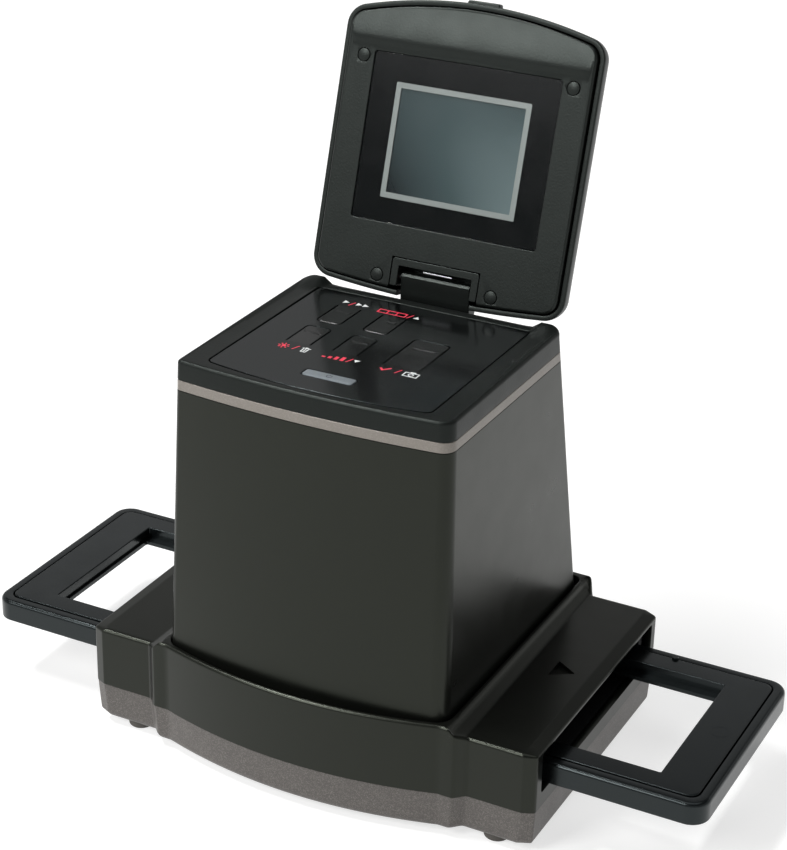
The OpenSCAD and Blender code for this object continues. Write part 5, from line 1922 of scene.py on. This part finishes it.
def placed(sign: list[np.ndarray], x: float, y: float, s: float) -> list[np.ndarray]:
    """The loops of a sign with its unit made s long and its middle at (x, y)."""
    return [loop * s + [x, y] for loop in sign]


@dataclass(frozen=True)
class Markings:
    """Signs printed beside the keys: no words, only common symbols."""

    ink: float = 0.03

    def build(self) -> None:
        """Lays the white and the red ink on the panel."""
        white = [
            *symbol_triangles(-26.9, 22.1, 2.5, 0),
            *symbol_triangles(-21.7, 22.1, 2.5, 0, 2),
            *symbol_triangles(2.1, 20.9, 2.3, 90),
            *placed(bin_sign(), -18.1, -23.2, 2.9),
            *symbol_triangles(1.7, -22.9, 2.3, -90),
            *placed(camera_sign(), 22.8, -23.9, 2.9),
        ]
        red = [
            *placed(film_sign(), -7.6, 21.1, 1.8),
            *placed(sun_sign(), -26.4, -23.3, 2.3),
            *placed(sizes_sign(), -6.6, -23.7, 1.9),
            *placed(tick_sign(), 12.8, -23.9, 2.4),
        ]
        for x, y in ((-24.0, 21.4), (-0.6, 21.1), (-21.9, -23.0), (-0.7, -23.6), (17.8, -23.6)):
            red += symbol_slash(x, y)
        inks = (("white_symbols", white, Kind.WHITE_INK), ("red_symbols", red, Kind.RED_INK))
        for name, shapes, kind in inks:
            made = Surface()
            for loop in shapes:
                made.plate(Polygon(loop), STACK.top - 0.02, STACK.top + self.ink, (), 0.0, 0.0)
            finish_piece(made, name, kind, "base")


# ---------------------------------------------------------------- hinge


@dataclass(frozen=True)
class Hinge:
    """Hinge block, pin, sleeves, the screen's hinge cover and its steel leaf."""

    block_half: float = 13.8
    front: float = 39.0
    back: float = 44.9
    low: float = 145.2
    pin_r: float = 1.25
    pin_half: float = 17.0
    sleeve_bore: float = 1.3
    sleeve_r: float = 1.85
    sleeve_x: tuple[float, float] = (8.62, 12.58)
    groove_pitch: float = 1.1
    cover_half: float = 17.2
    notch_half: float = 14.5
    notch_y: float = 4.1
    cover_y: float = 6.8
    cover_low: float = -3.4
    cover_back: float = -3.4
    face: float = 3.8

    def block(self) -> None:
        """Hinge block: a bevelled profile carried along X, with its foot under the cap."""
        axis = STACK.hinge
        corners = [
            (self.front, self.low),
            (self.front + 3, self.low),
            (self.back - 0.6, self.low + 3.4),
            (self.back, axis - 0.8),
            (self.back - 2.7, axis + 2),
            (self.front + 0.8, axis + 2),
            (self.front, axis + 1.2),
        ]
        shape = Polygon(rounded(corners, [0.4, 0.6, 1.0, 1.0, 0.6, 0.15, 0.15], 4))
        made = Surface().plate(shape, -self.block_half, self.block_half, (), 0.35, 0.35, 3).along_x()
        made.box(-10, 10, 32.0, self.front + 0.3, 145.7, 147.9, 0.1)
        finish_piece(made, "hinge_block_skin", Kind.GRAINED, "base", stands_for=["hinge_block"])

    def steel(self) -> None:
        """Pin with rounded ends, two clutch sleeves with grooves, and the leaf."""
        pin = Surface()
        r, h = self.pin_r, self.pin_half
        rod = [(0, -h), (r - 0.3, -h), (r, -h + 0.3), (r, h - 0.3), (r - 0.3, h), (0, h)]
        pin.lathe(rod, 0, 0, 32).along_x(STACK.hinge_y, STACK.hinge)
        finish_piece(pin, "hinge_pin_rod", Kind.STEEL, "base", stands_for=["hinge_pin"])
        sleeves = Surface()
        bore, r = self.sleeve_bore, self.sleeve_r
        x0, x1 = self.sleeve_x
        for side in (-1, 1):
            steps = [(bore, x0), (r - 0.15, x0), (r, x0 + 0.18)]
            for k in range(3):
                x = x0 + 0.58 + self.groove_pitch * k
                steps += [(r, x), (r - 0.2, x + 0.15), (r - 0.2, x + 0.45), (r, x + 0.6)]
            steps += [(r, x1 - 0.18), (r - 0.15, x1), (bore, x1), (bore, x0)]
            turned = Surface().lathe([(radius, side * x) for radius, x in steps], 0, 0, 40)
            sleeves.join(turned.along_x(STACK.hinge_y, STACK.hinge))
        finish_piece(sleeves, "hinge_sleeve_pair", Kind.STEEL, "base", stands_for=["hinge_sleeves"])
        leaf = Surface().box(-5.4, 6.0, self.notch_y - 1.25, self.notch_y - 0.75, -5.2, 2.0, 0.1)
        finish_piece(leaf, "hinge_leaf_strip", Kind.STEEL, "screen", Place.SCREEN, ["hinge_leaf"])

    def cover(self) -> None:
        """Hinge cover: a U round the notch at the foot of the screen."""
        c, n = self.cover_half, self.notch_half
        corners = [
            (-c, self.cover_low),
            (-n, self.cover_low),
            (-n, self.notch_y),
            (n, self.notch_y),
            (n, self.cover_low),
            (c, self.cover_low),
            (c, self.cover_y),
            (-c, self.cover_y),
        ]
        shape = Polygon(rounded(corners, [0.5, 0.5, 0.5, 0.5, 0.5, 0.5, 1.0, 1.0], 4))
        made = Surface().plate(shape, self.cover_back, self.face, (), 0.22, 0.2, 4)
        made.box(-n - 0.3, n + 0.3, self.cover_low, self.notch_y + 0.3, -6.2, -5.2, 0.1)
        made.box(-n - 0.3, n + 0.3, self.notch_y, self.cover_y - 0.3, -6.2, self.cover_back + 0.1, 0.1)
        for side in (-1, 1):
            x0, x1 = sorted((side * n, side * (c - 0.3)))
            made.box(x0, x1, self.cover_low, self.cover_y - 0.3, -6.2, self.cover_back + 0.1, 0.1)
        finish_piece(made, "hinge_cover_trim", Kind.GRAINED, "screen", Place.SCREEN, ["hinge_cover"])

    def build(self) -> None:
        """Builds the hinge's pieces."""
        self.block()
        self.steel()
        self.cover()


# ---------------------------------------------------------------- screen


@dataclass(frozen=True)
class Screen:
    """Screen housing: rear shell with its finger tab, bezel, window and display."""

    lid: SoftRect = SoftRect(50.2, -7.2, 99.7, 8.0, 8.0, 2.0, 5.2, 40, 14)
    back: float = -8.0
    rim: float = 2.4
    rim_w: float = 2.0
    wall: float = 2.0
    bezel_in: float = 2.45
    cover_gap: float = 0.4
    roll: float = 5.0
    face: float = 3.8
    swell: float = 0.7
    fall: float = 1.6
    rise_share: float = 0.22
    swell_from: float = 79.3
    swell_to: float = 97.3
    win_half: float = 36.48
    win_low: float = 18.5
    win_high: float = 78.3
    picture: tuple[float, float, float] = (24.48, 29.2, 66.6)
    frame_w: float = 2.0
    tab_half: float = 6.65
    tab_out: float = 1.1
    cover_half: float = 17.2
    cover_y: float = 6.8
    neck_half: float = 14.6
    neck_y: float = -3.5
    plugs: tuple[tuple[float, float], ...] = ((40.9, 76.2), (-40.9, 76.2), (22.7, -0.6), (-22.7, -0.6))
    plug_r: float = 2.3
    notch_r: float = 0.4
    step_r: float = 0.02
    boss_r: float = 3.2
    boss_bore: float = 1.1
    tab_z: tuple[float, float] = (-5.2, -2.0)
    module: tuple[float, ...] = (-29.4, 29.4, 24.3, 71.5, -0.3, 1.8)

    def notched(self, inset: float, x: float, y: float, neck: float | None = None) -> np.ndarray:
        """Outline of the housing with the hinge notch cut into its lower edge.

        Args:
            inset: how far the outline is drawn in.
            x: half width of the notch.
            y: its upper edge.
            neck: half width of its mouth below the cover's legs, where it is narrower.

        Returns:
            The loop, which starts at the right of the notch.
        """
        loop = self.lid(inset)
        low = (loop[:, 1] < y) & (np.abs(loop[:, 0]) < x)
        first = int(np.flatnonzero(low)[0])
        kept = np.roll(loop, -first, 0)[int(low.sum()) :]
        edge = loop[loop[:, 1] < 5]
        edge = edge[np.argsort(edge[:, 0])]
        mouth = x if neck is None else neck
        edge_y = float(np.interp(mouth, edge[:, 0], edge[:, 1]))
        right = [(mouth + 8, edge_y), (mouth, edge_y)]
        if neck is not None:
            step_y = max(self.neck_y, edge_y + 0.3)
            right += [(neck, step_y), (x, step_y)]
        right += [(x, y)]
        path = [(-a, b) for a, b in right] + right[::-1]
        r = self.step_r if neck else self.notch_r
        corners = [fillet(*path[k - 1 : k + 2], r, 3) for k in range(1, len(path) - 1)]
        return np.concatenate([kept, *corners])

    def relief(self, x: np.ndarray, y: np.ndarray) -> np.ndarray:
        """Height of the bezel's face: flat, then an eased rise over the first rise_share of
        the swell, and from there a fall of (swell + fall) u^1.5 towards the top edge.

        Args:
            x: places in X; not used.
            y: places in Y, from the hinge's side.

        Returns:
            Heights, as many as places.
        """
        t = np.clip((y - self.swell_from) / (self.swell_to - self.swell_from), 0, 1)
        u = np.clip((t - self.rise_share) / (1 - self.rise_share), 0, 1)
        return self.face + self.swell * smooth(t / self.rise_share) - (self.swell + self.fall) * u**1.5

    def rear(self) -> None:
        """Rear shell: tub, rim, lining and tab. Its side rolls under on a quarter of an
        ellipse: inset = roll (1 - sqrt(1 - s^2)), s the share of the depth."""
        made = Surface()
        share = np.sin(np.linspace(math.pi / 2, 0, 13))
        rim_z = self.rim - 0.6
        drawn = self.roll * (1 - np.sqrt(1 - share**2))
        rolled = np.stack([drawn, rim_z + (self.back - self.rim + 0.6) * share], 1)
        outside = np.concatenate([rolled, [(0.12, self.rim - 0.2), (0.4, self.rim)]])
        floor_z = self.back + self.wall

        def outer(inset: float) -> np.ndarray:
            """The rear shell's outline."""
            return self.notched(inset, self.cover_half + 0.1, self.cover_y + 0.1, self.neck_half)

        made.wall(outer, outside)
        made.cap(outer(outside[0][0]), (), self.back)
        w = self.rim_w
        lining = [(w - 0.3, self.rim), (w, self.rim - 0.3)]
        lining += [(w, floor_z + 1.5), (w + 0.5, floor_z + 0.4), (w + 1.5, floor_z)]
        made.wall(outer, np.array([(0.4, self.rim), *lining]))
        made.cap(outer(lining[-1][0]), (), floor_z)
        for x, y in self.plugs:
            made.tube(x, y, self.boss_r, self.boss_bore, floor_z, 0.1)
        half, low, high = self.tab_half, self.lid.high - 2.5, self.lid.high + self.tab_out
        tab = [(-half, low), (half, low), (half - 0.5, high), (-half + 0.5, high)]
        made.plate(Polygon(rounded(tab, [0.3, 0.3, 0.8, 0.8], 5)), *self.tab_z, (), 0.5, 0.5, 4)
        finish_piece(made, "screen_rear_skin", Kind.GRAINED, "screen", Place.SCREEN, ["screen_back"], 50)

    def bezel(self) -> None:
        """Bezel: face with its swell, the window's opening and the plugs' seats."""
        made = Surface()
        low = 0.2
        notch = (self.cover_half + self.cover_gap, self.cover_y + self.cover_gap)

        def outer(inset: float = 0.0) -> np.ndarray:
            """The bezel's outline."""
            return self.notched(self.bezel_in + inset, *notch)

        middle, height = (self.win_low + self.win_high) / 2, self.win_high - self.win_low
        window = oblong(0, middle, 2 * self.win_half + 0.3, height + 0.3, 1.2, 5)
        profile = wall_profile(low, self.face, 0.9, 0.0, 6)
        rim = outer(0.9)
        rings = []
        for inset, z in profile:
            field = self.relief(rim[:, 0], rim[:, 1]) - self.face
            share = (z - low) / (self.face - low)
            rings.append(raised(outer(inset), z + field * share**3))
        made.strip(rings)
        seats = [ring(x, y, self.plug_r + 0.22, 32) for x, y in self.plugs]
        x, y = np.meshgrid(np.arange(-46, 46.1, 2.3), np.arange(72, 98, 1.1))
        net = np.stack([x.ravel(), y.ravel()], 1)
        made.cap(rim, [window(-0.3), *[seat(-0.12) for seat in seats]], self.relief, net)
        made.wall(
            window,
            np.array([(0.3, self.face), (0.1, self.face - 0.1), (0.0, self.face - 0.3), (0.0, 2.2)]),
            -1,
        )
        for seat in seats:
            made.wall(seat, np.array([(-0.12, self.face), (0, self.face - 0.12), (0, 2.6)]))
            made.cap(seat(0), (), 2.6)
        made.cap(outer(1.8), [window(0)], 2.2)
        made.wall(outer, np.array([(1.8, 2.2), (1.8, low), (0.0, low)]))
        finish_piece(made, "screen_bezel_skin", Kind.GRAINED, "screen", Place.SCREEN, ["screen_bezel"], 50)

    def glass(self) -> None:
        """Window, the black mask behind it, the pale frame and the display."""
        mid = (self.win_low + self.win_high) / 2
        window = oblong(0, mid, 2 * self.win_half, self.win_high - self.win_low, 1.0, 5)
        sheet = Surface().plate(window, 3.15, self.face - 0.1, (), 0.15, 0.1, 3)
        finish_piece(sheet, "screen_window_sheet", Kind.WINDOW, "screen", Place.SCREEN, ["screen_window"])
        half, low, high = self.picture
        pale = oblong(0, (low + high) / 2, 2 * (half + self.frame_w), high - low + 2 * self.frame_w, 0.4, 4)
        hole = oblong(0, (low + high) / 2, 2 * half, high - low, 0.25, 3)
        mask = Surface().plate(window, 2.95, 3.1, [pale], 0.0, 0.0)
        finish_piece(mask, "screen_window_mask", Kind.MASK, "screen", Place.SCREEN)
        frame_piece = Surface().plate(lambda i=0.0: pale(i - 0.02), 2.7, 3.09, [hole], 0.0, 0.0)
        finish_piece(frame_piece, "display_frame_print", Kind.FRAME, "screen", Place.SCREEN, ["lcd_frame"])
        display = Surface().box(*self.module, 0.1)
        display.plate(
            oblong(0, (low + high) / 2, 2 * half + 1, high - low + 1, 0.2, 3), 1.75, 2.68, (), 0.0, 0.0
        )
        finish_piece(display, "display_panel_glass", Kind.DISPLAY, "screen", Place.SCREEN, ["lcd_panel"])

    def plug_caps(self) -> None:
        """Four plugs: turned flat discs."""
        made = Surface()
        r = self.plug_r
        top = self.face + 0.1
        for x, y in self.plugs:
            made.lathe(
                [(0, 2.7), (r, 2.7), (r, top - 0.2), (r - 0.06, top - 0.06), (r - 0.2, top), (0, top)], x, y
            )
        finish_piece(made, "screen_plug_caps", Kind.GRAINED, "screen", Place.SCREEN, ["screw_plugs"])

    def build(self) -> None:
        """Builds the screen's pieces."""
        self.rear()
        self.bezel()
        self.glass()
        self.plug_caps()


# ---------------------------------------------------------------- film holder


@dataclass(frozen=True)
class FilmHolder:
    """Film holder: a long tray with four gates and its flush cover."""

    length: float = 284.4
    depth: float = 88.6
    corner_r: float = 7.0
    thick: float = 8.3
    rim: float = 4.0
    gap: float = 0.55
    gates: tuple[float, ...] = (-93.0, -31.0, 31.0, 93.0)
    gate: float = 56.0
    window_x: float = 58.0
    window_y: float = 62.8
    lug_x: float = 99.5
    knuckle_y: float = 42.0
    knuckle_z: float = 30.3
    knob: tuple[float, float] = (100.0, 39.6)
    mark: tuple[float, float] = (130.9, 1.6)
    channel: tuple[float, float] = (248.0, 62.0)
    pocket: tuple[float, float] = (249.0, 70.0)
    pocket_deep: float = 2.8
    dimple: tuple[float, float] = (40.0, 40.3)
    lid_top: float = 32.3

    def plan(self, inset: float, r: float | None = None) -> SoftRect:
        """Outline of the tray, drawn in by inset.

        Args:
            inset: distance inwards.
            r: corner radius where it isn't the tray's own less the inset.

        Returns:
            The outline, which takes a further inset.
        """
        radius = self.corner_r - inset if r is None else r
        half, deep = self.length / 2 - inset, self.depth / 2 - inset
        return SoftRect(half, -deep, deep, radius, radius, 0, 0, 4, 12)

    def tray(self) -> None:
        """Tray: rim with a rounded edge, recess for the cover, film channel, gates."""
        made = Surface()
        low, high = STACK.holder, STACK.holder + self.thick
        outer = self.plan(0)
        profile = wall_profile(low, high, 1.6, 0.5, 8)
        made.wall(outer, profile)
        pit = self.plan(self.rim, self.corner_r - self.rim + 1)
        gates = [oblong(x, 0, self.gate, self.gate, 0.8, 4) for x in self.gates]
        seat = STACK.film - 0.2
        made.cap(outer(profile[-1][0]), [pit(-0.3)], high)
        made.wall(pit, np.array([(0.3, high), (0.08, high - 0.1), (0, high - 0.3), (0, STACK.film)]), -1)
        channel = oblong(0, 0, *self.channel, 0.3, 3)
        made.cap(pit(0), [channel(0)], STACK.film)
        made.wall(channel, np.array([(0, STACK.film), (0, seat)]))
        made.cap(channel(0), [gate(0) for gate in gates], seat)
        # A shallow pocket under the channel leaves the gates' edges thin.
        pocket, pocket_z = oblong(0, 0, *self.pocket, 2.0, 4), low + self.pocket_deep
        made.wall(pocket, np.array([(0, low), (0, pocket_z)]))
        made.cap(pocket(0), [gate(0) for gate in gates], pocket_z)
        for gate in gates:
            made.wall(gate, np.array([(0, seat), (0, pocket_z)]))
        aside, dimple_y = self.dimple
        dimples = [ring(x + aside, dimple_y, 1.1, 20) for x in self.gates]
        made.cap(outer(profile[0][0]), [pocket(0)] + [d(0) for d in dimples], low)
        for dimple in dimples:
            made.wall(dimple, np.array([(0, low), (0.35, low + 0.3), (0.8, low + 0.48)]))
            made.cap(dimple(0.8), (), low + 0.48)
        finish_piece(made, "film_holder_tray", Kind.HOLDER, "film_holder", Place.HOLDER, ["film_holder_base"])

    def lid(self) -> None:
        """Cover: a flush plate with a bevelled window over each gate, and knuckles."""
        made = Surface()
        inset = self.rim + self.gap
        shape = self.plan(inset, self.corner_r - self.rim + 0.6)
        windows = [oblong(x, 0, self.window_x, self.window_y, 0.5, 3) for x in self.gates]
        made.plate(shape, STACK.film + 0.02, self.lid_top, windows, 0.35, 0.0, 4)
        for s in (-1, 1):
            rod = [(0, -2.5), (1.1, -2.5), (1.3, -2.3), (1.3, 2.3), (1.1, 2.5), (0, 2.5)]
            turned = Surface().lathe([(r, s * self.lug_x + x) for r, x in rod], 0, 0, 28)
            made.join(turned.along_x(self.knuckle_y, self.knuckle_z))
            x, y = s * self.lug_x, self.knuckle_y
            made.box(x - 2.5, x + 2.5, y - 2.6, y, 29.1, 31.5, 0.2)
        face = STACK.holder + self.thick + 0.3
        knob = [(0, -0.1), (1.2, -0.1), (1.2, 0.5), (0.9, 0.8), (0, 0.8)]
        mark = [(3.0, -0.05), (3.0, 0.05), (3.4, 0.05), (3.4, -0.05), (3.0, -0.05)]
        made.lathe([(r, face + z) for r, z in knob], *self.knob, 24)
        made.lathe([(r, face + z) for r, z in mark], *self.mark, 40)
        finish_piece(made, "film_holder_lid", Kind.HOLDER, "film_holder", Place.HOLDER, ["film_holder_cover"])

    def build(self) -> None:
        """Builds the film holder's pieces."""
        self.tray()
        self.lid()


# ---------------------------------------------------------------- fittings and stage


CARRIED = {
    Kind.WHITE_BOARD: ["led_board"],
    Kind.LED: ["leds"],
    Kind.WHITE: ["reflector_box"],
    Kind.OPAL: ["diffuser"],
    Kind.DULL: ["film_stage", "light_tunnel", "camera_bracket", "lens_mount"],
    Kind.STEEL: [
        "stage_screws",
        "detent_ball",
        "detent_spring",
        "usb_socket",
        "card_socket",
        "tower_screws",
        "cap_screws",
        "screen_screws",
        "holder_hinge_pins",
    ],
    Kind.DARK_METAL: ["lens_barrel"],
    Kind.LENS: ["lens_elements"],
    Kind.FILTER: ["ir_filter"],
    Kind.SENSOR: ["image_sensor"],
    Kind.BOARD: ["sensor_board", "main_board", "io_board", "key_board", "screen_board"],
    Kind.CHIP: ["board_chips", "tact_switches", "av_jack"],
    Kind.CABLE: ["key_cable", "screen_cable"],
}


def dress_carried() -> None:
    """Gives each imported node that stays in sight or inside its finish."""
    for kind, names in CARRIED.items():
        for name in names:
            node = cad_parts[name]
            if node.material_slots:
                for slot in node.material_slots:
                    slot.material = kind.material()
            else:
                node.data.materials.append(kind.material())
            LOG.info("%s: %s", name, kind.name)


@dataclass(frozen=True)
class SoftBox:
    """A rectangle of light, in metres and watts, aimed at a height over the middle."""

    name: str
    place: tuple[float, float, float]
    size: tuple[float, float]
    power: float
    aim_z: float

    def build(self) -> None:
        """Adds the lamp."""
        data = bpy.data.lights.new(self.name, "AREA")
        data.shape, data.energy = "RECTANGLE", self.power
        data.size, data.size_y = self.size
        made = bpy.data.objects.new(self.name, data)
        made.location = self.place
        way = Vector((0, 0, self.aim_z)) - Vector(self.place)
        made.rotation_euler = way.to_track_quat("-Z", "Y").to_euler()
        bpy.context.scene.collection.objects.link(made)


@dataclass(frozen=True)
class Studio:
    """Camera, floor, lamps and the light all round."""

    eye: tuple[float, float, float] = (325.8, -637.4, 452.6)
    target: tuple[float, float, float] = (0.0, 4.465, 115.14)
    roll: float = 1.2587
    lens: float = 94.66
    floor: str = "#b6b6b5"
    floor_glow: float = 0.68
    sky: tuple[tuple[float, float], ...] = (
        (0.0, 0.9), (0.12, 0.8), (0.2, 0.3), (0.33, 0.36), (0.42, 0.52), (0.475, 0.8), (0.51, 0.6),
        (0.575, 0.05),
    )
    dim_way: tuple[float, float, float] = (-0.42, -0.9, 0.12)
    dim: float = 0.25
    boxes: tuple[SoftBox, ...] = (
        SoftBox("key_box", (-0.86, -0.33, 1.89), (0.7, 0.16), 31.0, 0.1),
        SoftBox("top_box", (0.2, 0.1, 2.2), (1.6, 1.6), 8.0, 0.1),
        SoftBox("front_box", (-0.92, -1.78, 1.62), (0.85, 0.9), 34.0, 0.2),
        SoftBox("window_card", (-0.93, -2.1, 0.98), (1.3, 0.34), 1.6, 0.23),
    )

    def camera(self) -> None:
        """Looks from eye to target, rolled about the line of sight."""
        eye, target = Vector(self.eye) * MM, Vector(self.target) * MM
        ahead = (target - eye).normalized()
        right = ahead.cross(Vector((0, 0, 1))).normalized()
        up = right.cross(ahead)
        c, s = math.cos(math.radians(self.roll)), math.sin(math.radians(self.roll))
        right, up = right * c + up * s, up * c - right * s
        data = bpy.data.cameras.new("camera")
        data.lens, data.sensor_width, data.sensor_fit = self.lens, 36.0, "AUTO"
        data.clip_start, data.clip_end = 0.02, 60.0
        made = bpy.data.objects.new("camera", data)
        made.matrix_world = Matrix((right, up, -ahead)).transposed().to_4x4()
        made.location = eye
        bpy.context.scene.collection.objects.link(made)
        bpy.context.scene.camera = made

    def seen(self, tree: bpy.types.NodeTree) -> bpy.types.NodeSocket:
        """1 for rays from the camera, off gloss or through glass.

        Args:
            tree: node tree of a material.

        Returns:
            Socket with 1 or 0.
        """
        path = add_node(tree, "ShaderNodeLightPath")
        direct, mirrored, through = (
            path.outputs[f"Is {kind} Ray"] for kind in ("Camera", "Glossy", "Transmission")
        )
        return maths(tree, "MAXIMUM", maths(tree, "MAXIMUM", direct, mirrored), through)

    def ground(self) -> None:
        """Pale floor that fades into the backdrop and keeps the shadow."""
        half = 20.0
        mesh = bpy.data.meshes.new("floor")
        corners = [(-half, -half, 0), (half, -half, 0), (half, half, 0), (-half, half, 0)]
        mesh.from_pydata(corners, [], [(0, 1, 2, 3)])
        made = bpy.data.objects.new("floor", mesh)
        bpy.context.scene.collection.objects.link(made)
        material = bpy.data.materials.new("pale_paper_floor")
        material.use_nodes = True
        tree = material.node_tree
        tree.nodes.clear()
        paper = add_node(tree, "ShaderNodeBsdfDiffuse", {"Color": linear(self.floor)})
        strength = self.lift(tree, self.floor_glow)
        glow = add_node(tree, "ShaderNodeEmission", {"Color": (1, 1, 1, 1), "Strength": strength})
        total = add_node(tree, "ShaderNodeAddShader", {0: paper.outputs[0], 1: glow.outputs[0]})
        add_node(tree, "ShaderNodeOutputMaterial", {"Surface": total.outputs[0]})
        mesh.materials.append(material)

    def lift(self, tree: bpy.types.NodeTree, strength: float) -> bpy.types.NodeSocket:
        """A strength that only seen rays meet."""
        return maths(tree, "MULTIPLY", self.seen(tree), strength)

    def surroundings(self) -> None:
        """Room: pale walls that darken with height up to a dark ceiling, and a dim corner in
        front on the left."""
        world = bpy.data.worlds.new("plain_room")
        bpy.context.scene.world = world
        world.use_nodes = True
        tree = world.node_tree
        tree.nodes.clear()
        way = add_node(tree, "ShaderNodeTexCoord").outputs["Generated"]
        height = add_node(tree, "ShaderNodeSeparateXYZ", {0: way}).outputs["Z"]
        tones = ramp(add_node(tree, "ShaderNodeValToRGB", {0: height}), self.sky)
        facing = add_node(tree, "ShaderNodeVectorMath", {0: way, 1: self.dim_way}, operation="DOT_PRODUCT")
        toward = facing.outputs["Value"]
        dim = add_node(
            tree, "ShaderNodeMapRange", {0: toward, 1: 0.75, 2: 0.97, 3: 1.0, 4: self.dim}
        ).outputs[0]
        room = add_node(tree, "ShaderNodeBackground", {"Color": tones.outputs[0], "Strength": dim})
        add_node(tree, "ShaderNodeOutputWorld", {"Surface": room.outputs[0]})

    def build(self) -> None:
        """Sets camera, floor, room and lamps."""
        self.camera()
        self.ground()
        self.surroundings()
        for box in self.boxes:
            box.build()
        view = bpy.context.scene.view_settings
        view.view_transform = "Standard"


def main() -> None:
    """Builds every piece in order."""
    logging.basicConfig(level=logging.INFO, format="%(message)s")
    for part in (Studio(), BaseShells(), Tower(), CapAndKeys(), Markings(), Hinge(), Screen(), FilmHolder()):
        part.build()
    dress_carried()


if __name__ == "__main__":
    main()
